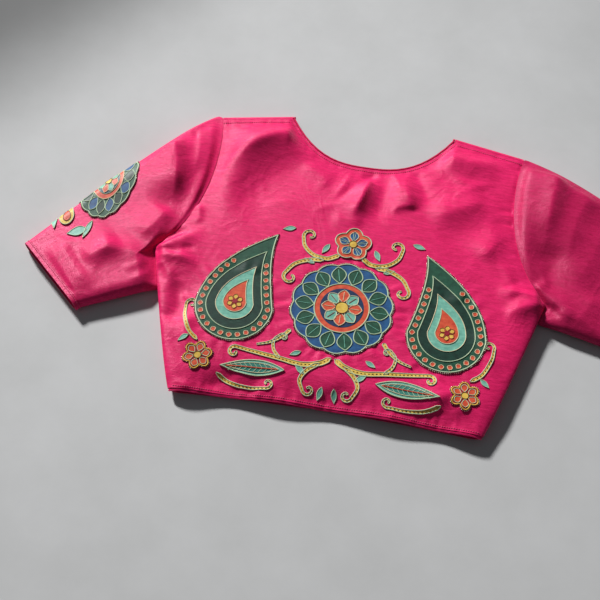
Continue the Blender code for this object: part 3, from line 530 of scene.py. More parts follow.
def back_grid(cell):
    """The back's outer points, rows from hem to top and columns from left to right."""
    rows = body_rows(round(SIDE_LENGTH / cell), round((TIP_LENGTH - SIDE_LENGTH) / cell))
    share = rows / rows[-1]
    width = half_width(rows)
    top_reach = width[-1] - BACK_ROUND
    right_half = neck_split(round(top_reach / cell), top_reach, 0.0)
    flat = np.concatenate([-right_half[:0:-1], right_half])
    angles = quarter(14)[:-1]
    inset = BACK_ROUND * (1.0 - np.cos(angles)) ** ROUND_POWER
    x = np.column_stack(
        [
            *(-(width - d) for d in inset),
            *((width - BACK_ROUND) * f for f in flat),
            *((width - d) for d in inset[::-1]),
        ]
    )
    hem = hem_line(x[:1])
    top = back_top(x[-1:])
    y = hem + (top - hem) * share[:, None]
    z = back_height(x, y)
    still_round = 1.0 - smooth((rows - SIDE_LENGTH) / ARMHOLE_START)
    for side, columns in ((-1, range(len(angles))), (1, range(-1, -len(angles) - 1, -1))):
        edge = side_edge_height(rows, side, ARMHOLE_START, ARMHOLE_RISE) + SEAM_GAP / 2
        for column, angle in zip(columns, angles):
            level = z[:, column]
            rounded = edge + (level - edge) * math.sin(angle)
            z[:, column] = level + (rounded - level) * still_round
    z[-1] = SHOULDER_RISE + (z[-1] - SHOULDER_RISE) * (np.abs(x[-1]) < HALF_NECK)
    y[-1] -= np.where(np.abs(x[-1]) < HALF_NECK, 0.0, SEAM_GAP / 2)
    return np.stack([x, frame_y(y), z], axis=-1), rows


def front_grid(side, cell):
    """One front's outer points, its rows up the side, and which of its cells are cloth."""
    rows = body_rows(round(SIDE_LENGTH / cell), round((TIP_LENGTH - SIDE_LENGTH) / cell))
    share = rows / rows[-1]
    width = half_width(rows)
    reach = width[-1] - FRONT_ROUND
    flat = neck_split(round(reach / cell), reach, -LAP_HALF)
    angles = quarter(8)[:-1]
    inset = FRONT_ROUND * (1.0 - np.cos(angles))
    x = np.column_stack(
        [
            *(-LAP_HALF + (width - FRONT_ROUND + LAP_HALF) * f for f in flat),
            *((width - d) for d in inset[::-1]),
        ]
    )
    hem = hem_line(x[:1])
    top = front_top(x[-1:])
    y = hem + (top - hem) * share[:, None]
    y += FRONT_HEM_RAISE * (1.0 - smooth(rows / HEM_SEAM_REACH))[:, None]
    quiet = smooth((y - hem) / 0.035) * smooth((top - y) / 0.035) * smooth((x - 0.025) / 0.030)
    quiet = quiet * smooth((width[:, None] - FRONT_ROUND - x) / 0.025)
    z = UNDER_SHARE * np.clip(fold_height(-side * x, y, BACK_FOLDS), 0.0, None) * quiet
    edge = side_edge_height(rows, side, FRONT_ARMHOLE_START, SEAM_GAP / 2) - SEAM_GAP / 2
    for column, angle in zip(range(-1, -len(angles) - 1, -1), angles):
        z[:, column] = edge * (1.0 - math.sin(angle))
    if side < 0:
        z += LAP_RISE * smooth((LAP_HALF + LAP_RAMP - x) / LAP_RAMP)
    fold = shoulder_line(x[-1])
    turns = np.linspace(-math.pi / 2, math.pi / 2, 15)[1:]
    over_y, over_z = [], []
    for turn in turns:
        over_y.append(fold - SHOULDER_FOLD * (1.0 - math.cos(turn)))
        over_z.append(np.full_like(fold, SHOULDER_FOLD * (1.0 + math.sin(turn))))
    over_y[-1] = over_y[-1] + SEAM_GAP / 2
    x = np.vstack([x, np.repeat(x[-1:], len(turns), axis=0)])
    y = np.vstack([y, over_y])
    z = np.vstack([z, over_z])
    cloth = np.ones((len(y) - 1, x.shape[1] - 1), bool)
    cloth[len(rows) - 1 :, x[-1, :-1] < HALF_NECK - 1e-6] = False
    return np.stack([side * x, frame_y(y), z], axis=-1), rows, cloth


def cuff_line(sleeve):
    return np.array(sleeve["cuff_low"]), np.array(sleeve["cuff_top"])


def cuff_axis(sleeve):
    """The sleeve's direction out of its cuff, square to the cuff's line."""
    low, top = cuff_line(sleeve)
    across = unit(top - low)
    axis = np.array([across[1], -across[0], 0.0])
    return axis * np.sign(axis[0] * sleeve["side"])


def sleeve_profile(share, width, target, low_round, top_round, low_mid, top_mid):
    """Height over a section at a share of its width from the lower folded edge."""
    from_low = share * width
    from_top = (1.0 - share) * width
    low = np.sqrt(np.clip(1.0 - (1.0 - from_low / low_round) ** 2, 0.0, 1.0))
    top = np.sqrt(np.clip(1.0 - (1.0 - from_top / top_round) ** 2, 0.0, 1.0))
    low = np.where(from_low < low_round, low, 1.0)
    top = np.where(from_top < top_round, top, 1.0)
    z = low_mid + (target - low_mid) * low
    return np.where(top < 1.0, top_mid + (target - top_mid) * top, z)


def sleeve_grid(name, cell):
    """A sleeve's outer points, one closed ring a station, and its cut places in metres.

    A ring starts at the lower folded edge, runs over the upper side to the top folded edge, and
    returns along the under side.
    """
    sleeve = SLEEVES[name]
    rows = body_rows(12, 60, sleeve["tuck"])
    slope = np.gradient(half_width(rows), rows)
    slope[rows > TIP_LENGTH - 2 * SHOULDER_FOLD] = 0.0
    gap = np.where(rows < SIDE_LENGTH, SEAM_GAP, -SEAM_GAP) * np.sqrt(1.0 + slope**2)
    head = np.column_stack([sleeve["side"] * (half_width(rows) + gap), rows])
    tip = np.array([sleeve["side"] * (HALF_SHOULDER + SEAM_GAP), TIP_LENGTH])
    edge = np.vstack([head, tip])
    steps = np.hypot(*np.diff(edge, axis=0).T)
    head_share = np.concatenate([[0.0], np.cumsum(steps)]) / steps.sum()
    short = cuff_axis(sleeve)[:2] * (FACING_WIDTH + SEAM_GAP)
    low, top = (end - short for end in cuff_line(sleeve))
    along = unit(top - tip)
    outward = np.array([-along[1], along[0]])
    outward *= np.sign(outward[1])
    length = np.linalg.norm(top - tip)
    stations = np.linspace(0.0, 1.0, round(length / cell) + 1)
    flat_steps = round(SLEEVE_SPAN / cell)
    rings = []
    for station in stations:
        near_head = 1.0 - smooth(station / HEAD_SHARE)
        line = edge + (low + (top - low) * head_share[:, None] - edge) * station
        swell = sleeve["bow"] * station ** sleeve["bow_power"] * (1.0 - station)
        line = line + outward * swell * (head_share**2)[:, None]
        run = np.concatenate([[0.0], np.cumsum(np.hypot(*np.diff(line, axis=0).T))])
        width = run[-1]
        round_low = sleeve["low_round"] * (1.0 - near_head) + HEAD_LOW_ROUND * near_head
        round_top = sleeve["top_round"] * (1.0 - near_head) + SHOULDER_FOLD * near_head
        edge_low = round_low * (1.0 - np.cos(quarter(8))) / width
        edge_top = round_top * (1.0 - np.cos(quarter(8)))[::-1] / width
        inner = np.linspace(edge_low[-1], 1.0 - edge_top[0], flat_steps + 1)[1:]
        shares = np.concatenate([edge_low, inner, 1.0 - edge_top[1:]])
        plan_x = np.interp(shares * width, run, line[:, 0])
        plan_y = np.interp(shares * width, run, line[:, 1])
        to_cuff = smooth((station - 1.0 + CUFF_SHARE) / CUFF_SHARE)
        level = sleeve["rise"] + (sleeve["cuff_rise"] - sleeve["rise"]) * to_cuff
        armhole_level = np.where(
            plan_y < SIDE_LENGTH,
            SIDE_SEAM_RISE[sleeve["side"]] - SLEEVE_UNDER_SEAM,
            side_edge_height(plan_y, sleeve["side"], ARMHOLE_START, ARMHOLE_RISE),
        )
        to_tip = bell(TIP_LENGTH - SHOULDER_FOLD - plan_y, NECK_REACH)
        armhole_level = armhole_level + (SHOULDER_RISE - armhole_level) * to_tip
        level = level + (armhole_level - level) * near_head
        from_edges = np.minimum(shares, 1.0 - shares) * width
        quiet = smooth((from_edges - FOLD_CLEAR) / FOLD_FADE) * smooth(station / END_FADE)
        quiet = quiet * smooth((1.0 - station) / END_FADE)
        creased = fold_height(plan_x, plan_y, sleeve["folds"])
        creased = creased + fold_height(plan_x, plan_y, SLEEVE_CREASES[name])
        level = level + creased * quiet
        from_seam = station * length
        high = smooth((plan_y - SIDE_LENGTH - 0.030) / 0.060)
        roll = smooth(from_seam / ROLL_AWAY) * bell(from_seam - ROLL_AWAY, ROLL_REACH)
        roll = (ROLL_LOW + (ROLL_HIGH - ROLL_LOW) * high) * roll
        level = level + roll * smooth((from_edges - 0.006) / 0.020)
        level = level - SEAM_TUCK * (1.0 - smooth(from_seam / SEAM_TUCK_REACH))
        low_mid = LOW_MIDDLE * (1.0 - near_head) + HEAD_LOW_MIDDLE * near_head
        top_mid = TOP_MIDDLE * (1.0 - near_head) + SHOULDER_FOLD * near_head
        lifted = UNDER_SHARE * np.clip(creased, 0.0, None) * quiet * (1.0 - near_head)
        rounds = (round_low, round_top, low_mid, top_mid)
        over_z, under_z = (sleeve_profile(shares, width, z, *rounds) for z in (level, lifted))
        upper = np.column_stack([plan_x, frame_y(plan_y), over_z])
        under = np.column_stack([plan_x, frame_y(plan_y), under_z])
        rings.append(np.vstack([upper, under[-2:0:-1]]))
    grid = np.array(rings)
    loop = np.concatenate([grid, grid[:, :1]], axis=1)
    girth = np.cumsum(np.linalg.norm(np.diff(loop, axis=1), axis=-1), axis=1)
    girth = np.hstack([np.zeros((len(grid), 1)), girth])
    along_sleeve = np.repeat(stations[:, None] * length, girth.shape[1], axis=1)
    return grid, np.stack([along_sleeve, girth], axis=-1), len(shares)


def grid_normals(grid, across, closed=False):
    """Unit normals of a grid of points. across replaces the direction across named border lines."""
    along_rows = np.gradient(grid, axis=0)
    if closed:
        along_columns = (np.roll(grid, -1, axis=1) - np.roll(grid, 1, axis=1)) / 2
    else:
        along_columns = np.gradient(grid, axis=1)
    for line, direction in across.items():
        if line in ("first_row", "last_row"):
            along_rows[0 if line == "first_row" else -1] = direction
        else:
            along_columns[:, 0 if line == "first_column" else -1] = direction
    return unit(np.cross(along_columns, along_rows))


def wall_object(name, outer, normals, thickness, material, uv, cloth=None, closed=False):
    """A thin closed wall from a grid of outer points, with the cut's own places as its UV map."""
    rows, columns = outer.shape[:2]
    last = columns if closed else columns - 1
    if cloth is None:
        cloth = np.ones((rows - 1, last), bool)
    i, j = np.nonzero(cloth)
    corners = [(i, j), (i, j + 1), (i + 1, j + 1), (i + 1, j)]
    outer_faces = np.stack([a * columns + b % columns for a, b in corners], axis=1)
    face_uv = np.stack([uv[a, b] for a, b in corners], axis=1)
    points = outer.reshape(-1, 3)
    first = outer_faces[0]
    facing = np.cross(points[first[1]] - points[first[0]], points[first[2]] - points[first[0]])
    if facing @ normals.reshape(-1, 3)[first[0]] < 0.0:
        outer_faces = outer_faces[:, ::-1]
        face_uv = face_uv[:, ::-1]
    count = len(points)
    inner_faces = outer_faces[:, ::-1] + count
    inner_uv = face_uv[:, ::-1]
    starts = outer_faces.ravel()
    ends = np.roll(outer_faces, -1, axis=1).ravel()
    start_uv = face_uv.reshape(-1, 2)
    end_uv = np.roll(face_uv, -1, axis=1).reshape(-1, 2)
    keys = np.minimum(starts, ends) * count + np.maximum(starts, ends)
    _, index, uses = np.unique(keys, return_index=True, return_counts=True)
    rim = index[uses == 1]
    rim_faces = np.stack([ends[rim], starts[rim], starts[rim] + count, ends[rim] + count], axis=1)
    rim_uv = np.stack([end_uv[rim], start_uv[rim], start_uv[rim], end_uv[rim]], axis=1)
    inner = outer - normals * thickness
    vertices = np.vstack([points, inner.reshape(-1, 3)])
    faces = np.vstack([outer_faces, inner_faces, rim_faces])
    loops_uv = np.vstack([face_uv.reshape(-1, 2), inner_uv.reshape(-1, 2), rim_uv.reshape(-1, 2)])
    used, compact = np.unique(faces, return_inverse=True)
    return mesh_object(name, vertices[used], compact.reshape(faces.shape), material, loops_uv)


def mesh_object(name, vertices, faces, materials, uv=None, indices=None):
    """An object from points and faces, smooth but for its sharp edges."""
    mesh = bpy.data.meshes.new(name)
    mesh.from_pydata(np.asarray(vertices).tolist(), [], [list(map(int, f)) for f in faces])
    for material in materials if isinstance(materials, (list, tuple)) else [materials]:
        mesh.materials.append(material)
    if indices is not None:
        mesh.polygons.foreach_set("material_index", np.asarray(indices, np.int32))
    if uv is not None:
        layer = mesh.uv_layers.new(name="Cut")
        layer.data.foreach_set("uv", np.asarray(uv, np.float32).ravel())
    mesh.update()
    mesh.shade_smooth()
    mesh.set_sharp_from_angle(angle=SHARP_ANGLE)
    made = bpy.data.objects.new(name, mesh)
    bpy.context.scene.collection.objects.link(made)
    return made


def armhole_directions(rows, side):
    """Across the armhole seam, from the body into the sleeve: level, but down along the side."""
    turn = smooth((rows - SIDE_LENGTH) / ARMHOLE_START)
    level = np.array([side, 0.0, 0.0])
    return turn[:, None] * level + (1.0 - turn)[:, None] * np.array([0.0, 0.0, -1.0])


def back_surface(cell):
    """The back's whole outer surface, out to the finished hem, with its normals."""
    grid, rows = back_grid(cell)
    across = {
        "first_column": -armhole_directions(rows, -1),
        "last_column": armhole_directions(rows, 1),
        "first_row": np.array([0.0, 1.0, 0.0]),
        "last_row": np.array([0.0, 1.0, 0.0]),
    }
    return grid, grid_normals(grid, across=across)


def sleeve_surface(name, cell):
    """A sleeve's whole outer surface with its normals and cut places."""
    grid, uv, upper = sleeve_grid(name, cell)
    sleeve = SLEEVES[name]
    side = sleeve["side"]
    across = {"first_row": np.array([side, 0.0, 0.0]), "last_row": cuff_axis(sleeve)}
    return grid, grid_normals(grid, closed=True, across=across) * -side, uv, upper


def plan_uv(grid):
    """The cut's places for a body panel: weft across the body and warp up it."""
    return np.stack([grid[..., 0], grid[..., 1]], axis=-1)


def feed(tree, node, inputs):
    """Sets a node's inputs by name or number: a socket is linked, and anything else is a value."""
    for key, value in inputs.items():
        if isinstance(value, bpy.types.NodeSocket):
            tree.links.new(value, node.inputs[key])
        else:
            node.inputs[key].default_value = value


def add(tree, kind, inputs=None, **properties):
    """A shader or geometry node, with its properties and its inputs."""
    node = tree.nodes.new(kind)
    for key, value in properties.items():
        setattr(node, key, value)
    feed(tree, node, inputs or {})
    return node


def new_group(name, kind, inputs, outputs):
    """A node group with its sockets. An input has its default, or else its socket's type."""
    group = bpy.data.node_groups.new(name, kind)
    for title, value in inputs.items():
        given = {float: "Float", tuple: "Vector"}.get(type(value))
        made = group.interface.new_socket(
            name=title, in_out="INPUT", socket_type=f"NodeSocket{given or value}"
        )
        if given:
            made.default_value = value
    for title, value in outputs.items():
        group.interface.new_socket(
            name=title, in_out="OUTPUT", socket_type=f"NodeSocket{value}"
        )
    return group, add(group, "NodeGroupInput"), add(group, "NodeGroupOutput")


def number(tree, operation, *values):
    """The result of a math node on sockets or constants."""
    return add(tree, "ShaderNodeMath", dict(enumerate(values)), operation=operation).outputs[0]


def vector(tree, operation, *values):
    """A vector math node on sockets or constants."""
    return add(tree, "ShaderNodeVectorMath", dict(enumerate(values)), operation=operation)


def ranged(tree, value, low, high, to_low=0.0, to_high=1.0, **properties):
    """A value mapped from one range to another."""
    inputs = {"Value": value, "From Min": low, "From Max": high, "To Min": to_low, "To Max": to_high}
    return add(tree, "ShaderNodeMapRange", inputs, **properties).outputs["Result"]


def mixed(tree, factor, a, b):
    """A value between two others."""
    inputs = {"Factor": factor, "A": a, "B": b}
    return add(tree, "ShaderNodeMix", inputs, data_type="FLOAT").outputs["Result"]


def noise(tree, place, **values):
    """Smooth noise over a place. Each value is an input of the same name."""
    inputs = {key.title(): value for key, value in values.items()}
    return add(tree, "ShaderNodeTexNoise", {"Vector": place, **inputs}).outputs["Fac"]


def ramp(tree, value, low, high, start=0.0, end=1.0):
    """A colour that runs from low to high as a value runs from start to end."""
    node = add(tree, "ShaderNodeValToRGB", {"Fac": value})
    first, last = node.color_ramp.elements
    first.position, last.position = start, end
    first.color, last.color = (*low, 1.0), (*high, 1.0)
    return node.outputs["Color"]


def bumped(tree, height, strength, distance, below=None):
    """A normal bent by a height, over another normal where one is given."""
    inputs = {"Height": height, "Strength": strength, "Distance": distance}
    if below:
        inputs["Normal"] = below
    return add(tree, "ShaderNodeBump", inputs).outputs["Normal"]


def slub_group():
    """Shader group: raw silk's uneven yarns, as a shade and a height."""
    known = bpy.data.node_groups.get("Slub silk yarns")
    if known:
        return known
    group, inside, outside = new_group(
        "Slub silk yarns",
        "ShaderNodeTree",
        {"Cut": "Vector", "Streak Length": 0.022, "Streak Width": 0.0008, "Yarn Pitch": 0.0005},
        {"Shade": "Float", "Height": "Float"},
    )
    length, width = inside.outputs["Streak Length"], inside.outputs["Streak Width"]
    split = add(group, "ShaderNodeSeparateXYZ", {0: inside.outputs["Cut"]})

    def times(value, factor):
        return number(group, "MULTIPLY", value, factor)

    def scaled(along, over, shift):
        along = number(group, "DIVIDE", split.outputs[0], along)
        over = number(group, "DIVIDE", split.outputs[1], over)
        return add(group, "ShaderNodeCombineXYZ", {0: along, 1: over, 2: shift}).outputs[0]

    def streaks(place, detail, roughness):
        return noise(group, place, scale=1.0, detail=detail, roughness=roughness)

    fine = streaks(scaled(length, width, 0.0), 3.0, 0.6)
    broad = streaks(scaled(times(length, 2.6), times(width, 4.0), 3.7), 2.0, 0.5)
    warp = streaks(scaled(times(width, 1.2), times(length, 0.8), 7.1), 2.0, 0.5)
    thick = streaks(scaled(times(length, 0.9), times(width, 1.6), 11.3), 1.0, 0.4)
    slub = ranged(group, thick, 0.62, 0.78)
    weft = mixed(group, 0.45, fine, broad)
    picks = scaled(length, times(inside.outputs["Yarn Pitch"], 3.2), 0.0)
    wave = add(
        group,
        "ShaderNodeTexWave",
        {"Vector": picks, "Scale": 1.0, "Distortion": 0.6},
        wave_type="BANDS",
        bands_direction="Y",
    )
    yarns = mixed(group, 0.30, weft, wave.outputs["Fac"])
    height = number(group, "ADD", yarns, times(slub, 0.9))
    feed(group, outside, {"Shade": mixed(group, 0.07, weft, warp), "Height": height})
    return group


def crumple_group():
    """Shader group: the soft, shallow creases that crushed silk keeps, as a height."""
    known = bpy.data.node_groups.get("Silk crumple")
    if known:
        return known
    group, inside, outside = new_group(
        "Silk crumple",
        "ShaderNodeTree",
        {"Place": "Vector", "Crease Size": 0.030},
        {"Height": "Float"},
    )
    per_metre = number(group, "DIVIDE", 1.0, inside.outputs["Crease Size"])
    soft = noise(group, inside.outputs["Place"], scale=per_metre, detail=3.0, distortion=1.2)
    feed(group, outside, {"Height": number(group, "PINGPONG", soft, 0.5)})
    return group


def billow_group():
    """Shader group: the cloth's broad swell over the garment's middle, as a height in metres."""
    known = bpy.data.node_groups.get("Broad billow")
    if known:
        return known
    group, inside, outside = new_group(
        "Broad billow",
        "ShaderNodeTree",
        {"Place": "Vector", "Centre": (-0.10, -0.06, 0.0), "Fall": (0.07, 0.24, 0.0)},
        {"Height": "Float"},
    )
    away = vector(group, "SUBTRACT", inside.outputs["Place"], inside.outputs["Centre"]).outputs[0]
    squared = vector(group, "MULTIPLY", away, away).outputs[0]
    fall = vector(group, "DOT_PRODUCT", squared, inside.outputs["Fall"]).outputs["Value"]
    feed(group, outside, {"Height": number(group, "MULTIPLY", fall, -1.0)})
    return group


def new_material(name):
    """A material, its node tree, its shader and the places its patterns read."""
    material = bpy.data.materials.new(name)
    material.use_nodes = True
    tree = material.node_tree
    return material, tree, tree.nodes["Principled BSDF"], add(tree, "ShaderNodeTexCoord").outputs


def cloth_material(name, deep, bright, roughness, sheen):
    """Woven silk: two yarn colours in uneven streaks, a soft gloss and a little crumple."""
    known = bpy.data.materials.get(name)
    if known:
        return known
    material, tree, shader, place = new_material(name)
    streaks = {"Cut": place["UV"], **SILK_YARNS}
    yarns = add(tree, "ShaderNodeGroup", streaks, node_tree=slub_group())
    creases = {"Place": place["Object"], "Crease Size": SILK_CREASE}
    crumple = add(tree, "ShaderNodeGroup", creases, node_tree=crumple_group())
    billow = add(tree, "ShaderNodeGroup", {"Place": place["Object"]}, node_tree=billow_group())
    shade = yarns.outputs["Shade"]
    woven = bumped(tree, yarns.outputs["Height"], 0.34, 0.0006)
    crushed = bumped(tree, crumple.outputs["Height"], 0.50, 0.0030, woven)
    looks = {
        "Base Color": ramp(tree, shade, deep, bright, 0.27, 0.73),
        "Roughness": ranged(tree, shade, 0.3, 0.7, roughness + 0.06, roughness - 0.06),
        "Normal": bumped(tree, billow.outputs["Height"], 1.0, 1.0, crushed),
        "Specular IOR Level": 0.34,
        "Specular Tint": (1.0, 0.46, 0.70, 1.0),
        "Sheen Weight": sheen,
        "Sheen Roughness": 0.35,
        "Sheen Tint": (1.0, 0.45, 0.65, 1.0),
    }
    feed(tree, shader, looks)
    return material


def silk(name="slub_silk", shade=1.0):
    """The blouse's silk, its colours scaled by shade: painted shade that makes a darker copy of the
    silk for a sleeve.
    """
    looks = bpy.context.scene.blouse_silk
    return cloth_material(
        name,
        tuple(shade * c for c in looks.deep_colour),
        tuple(shade * c for c in looks.bright_colour),
        looks.roughness,
        looks.sheen,
    )


def piping_silk():
    return cloth_material("piping_silk", (0.44, 0.004, 0.055), (0.66, 0.008, 0.100), 0.50, 0.1)


def metal(name, colour, roughness):
    """Bright metal, dulled in small spots."""
    known = bpy.data.materials.get(name)
    if known:
        return known
    material, tree, shader, place = new_material(name)
    worn = noise(tree, place["Object"], scale=900.0)
    dull = [c * 0.75 for c in colour]
    looks = {"Base Color": ramp(tree, worn, dull, colour), "Metallic": 1.0, "Roughness": roughness}
    feed(tree, shader, looks)
    return material


def dress(piece, slot, *nodes):
    """A finished piece: it rides with the part and stands for its solids, which it hides. Its slot is
    not used.
    """
    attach(piece, "root")
    if nodes:
        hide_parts(*nodes)
    return piece


def flat_area(grid, cloth=None):
    """Area of a grid of points, or of those of its cells that are cloth, in square metres."""
    a = grid[1:, 1:] - grid[:-1, :-1]
    b = grid[1:, :-1] - grid[:-1, 1:]
    cells = np.linalg.norm(np.cross(a, b), axis=-1) / 2
    return float(cells.sum() if cloth is None else cells[cloth].sum())


def hem_strip(first_row, normals, roll):
    """Outer points of the turned edge below a panel's first row, in to the finished hem."""
    reach = FACING_WIDTH - SEAM_GAP
    outs = np.linspace(0.0, reach, 6)
    drop = roll * (1.0 - outs / reach) ** 2
    strip = np.repeat(first_row[None], len(outs), axis=0)
    strip[..., 1] += outs[:, None]
    strip[..., 2] -= drop[:, None] * np.clip(normals[:, 2], 0.0, 1.0)
    return strip


def lobed_outline(radius, lobes, depth, points):
    """A round outline with lobes, as a medallion's or a flower's."""
    angle = np.linspace(0.0, 2 * math.pi, points, endpoint=False)
    reach = radius * (1.0 - depth * (1.0 - np.abs(np.cos(lobes * angle / 2.0))))
    return np.column_stack([reach * np.sin(angle), reach * np.cos(angle)])


def paisley_outline(size, points):
    """A mango-shaped drop: a round base whose top curls over to one side."""
    turn = np.linspace(-math.pi / 2, math.pi / 2, points // 2)
    base = [(size * math.cos(a - math.pi / 2), size * math.sin(a - math.pi / 2)) for a in turn]
    rise = np.linspace(0.0, 1.0, points // 4 + 1)[1:]
    right = [(size * (1.0 - 0.30 * s - 1.45 * s**2.2), size * 2.25 * s**0.95) for s in rise]
    left = [(size * (-1.0 + 0.50 * s - 0.25 * s**4), size * 2.25 * s**1.10) for s in rise[:-1][::-1]]
    return np.array(base + right + left)


def leaf_outline(length, width, points):
    """A pointed leaf along X."""
    share = np.linspace(0.0, 1.0, points // 2 + 1)
    half = width * np.sin(math.pi * share**0.85)
    upper = np.column_stack([length * (2.0 * share - 1.0), half])
    return np.vstack([upper, (upper * np.array([1.0, -1.0]))[-2:0:-1]])


def petal_outline(start, end, width, swell, points=28):
    """A petal along Y from start to end, widest nearer its tip the larger swell is."""
    share = np.linspace(0.0, 1.0, points // 2 + 1)
    half = width * np.sin(math.pi * share**swell) ** 0.8
    right = np.column_stack([half, start + (end - start) * share])
    return np.vstack([right, (right * np.array([-1.0, 1.0]))[-2:0:-1]])


def rib_line(start, end, points):
    """A straight rib up a petal, along Y."""
    return np.column_stack([np.zeros(points), np.linspace(start, end, points)])


def turned(outline, degrees):
    angle = math.radians(degrees)
    turn = np.array([[math.cos(angle), math.sin(angle)], [-math.sin(angle), math.cos(angle)]])
    return outline @ turn


def inset_outline(outline, distance):
    """An outline moved inwards by a distance, its points along their own bisectors."""
    before = outline - np.roll(outline, 1, axis=0)
    after = np.roll(outline, -1, axis=0) - outline
    tangent = unit(unit(before) + unit(after))
    normal = np.column_stack([-tangent[:, 1], tangent[:, 0]])
    ahead = np.roll(outline, -1, axis=0)
    area = np.sum(outline[:, 0] * ahead[:, 1] - ahead[:, 0] * outline[:, 1])
    return outline + normal * distance * np.sign(area)


def circle(x, y, radius, points):
    return lobed_outline(radius, 1, 0.0, points) + np.array([x, y])


def smooth_line(points):
    """A smooth line through points."""
    points = np.array(points, float)
    padded = np.vstack([2 * points[0] - points[1], points, 2 * points[-1] - points[-2]])
    line = []
    for a, b, c, d in zip(padded, padded[1:], padded[2:], padded[3:]):
        for t in np.arange(CURVE_STEPS) / CURVE_STEPS:
            line.append(
                0.5 * (2 * b + (c - a) * t + (2 * a - 5 * b + 4 * c - d) * t**2
                       + (3 * b - a - 3 * c + d) * t**3)
            )
    return np.vstack([line, points[-1]])


def curled(line, radius, degrees):
    """A line carried on into a curl that tightens over its turn."""
    if not radius:
        return line
    heading = math.atan2(*(line[-1] - line[-2])[::-1])
    total = math.radians(abs(degrees))
    way = math.copysign(1.0, degrees)
    points = [line[-1]]
    done = 0.0
    while done < total:
        bend = CURL_STEP / (radius * (1.0 - 0.72 * done / total))
        done += bend
        heading += way * bend
        points.append(points[-1] + CURL_STEP * np.array([math.cos(heading), math.sin(heading)]))
    return np.vstack([line, points[1:]])


def ribbon_outline(line, width):
    """A band along a line, tapering to its end and rounded there."""
    tangent = unit(np.gradient(line, axis=0))
    aside = np.column_stack([-tangent[:, 1], tangent[:, 0]])
    share = np.linspace(0.0, 1.0, len(line))
    half = width / 2 * (1.0 - 0.55 * share)
    half = half * np.clip(share / 0.04, 0.25, 1.0)
    left = line + aside * half[:, None]
    right = line - aside * half[:, None]
    return np.vstack([left, right[::-1]])


def subdivided(outline, spacing):
    """An outline's points with more between them, its corners kept."""
    points = []
    for a, b in zip(outline, np.roll(outline, -1, axis=0)):
        steps = max(1, math.ceil(np.linalg.norm(b - a) / spacing))
        points += [a + (b - a) * k / steps for k in range(steps)]
    return np.array(points)


def evenly(outline, spacing):
    """Points at one even spacing round a closed outline."""
    loop = np.vstack([outline, outline[:1]])
    run = np.concatenate([[0.0], np.cumsum(np.linalg.norm(np.diff(loop, axis=0), axis=1))])
    at = np.linspace(0.0, run[-1], round(run[-1] / spacing), endpoint=False)
    return np.column_stack([np.interp(at, run, loop[:, 0]), np.interp(at, run, loop[:, 1])])


def within(outline, points):
    """Which points lie inside an outline."""
    x, y = points[:, None, 0], points[:, None, 1]
    after = np.roll(outline, -1, axis=0)
    rise = after[:, 1] - outline[:, 1]
    slope = (after[:, 0] - outline[:, 0]) / np.where(rise == 0.0, 1e-12, rise)
    spans = (outline[:, 1] > y) != (after[:, 1] > y)
    crossing = outline[:, 0] + (y - outline[:, 1]) * slope
    return np.sum(spans & (x < crossing), axis=1) % 2 == 1


def filled(outline, spacing):
    """Triangles over an outline, with even points within it; the outline's own points come first."""
    low, high = outline.min(0), outline.max(0)
    across, up = np.meshgrid(
        np.arange(low[0], high[0], spacing), np.arange(low[1], high[1], spacing * 0.87)
    )
    across = across + (np.arange(len(across)) % 2)[:, None] * spacing / 2
    inner = np.column_stack([across.ravel(), up.ravel()])
    edge = np.roll(outline, -1, axis=0) - outline
    away = inner[:, None] - outline[None]
    along = np.clip(np.sum(away * edge, axis=-1) / np.sum(edge * edge, axis=-1), 0.0, 1.0)
    nearest = np.linalg.norm(away - edge * along[..., None], axis=-1).min(axis=1)
    inner = inner[within(outline, inner) & (nearest > spacing * 0.45)]
    points = np.vstack([outline, inner])
    rim = [(k, (k + 1) % len(outline)) for k in range(len(outline))]
    made = delaunay_2d_cdt([Vector(p) for p in points], rim, [], 1, 1e-9, False)
    flat, triangles = np.array([tuple(v) for v in made[0]]), np.array(made[2])
    return flat, triangles[within(outline, flat[triangles].mean(axis=1))]


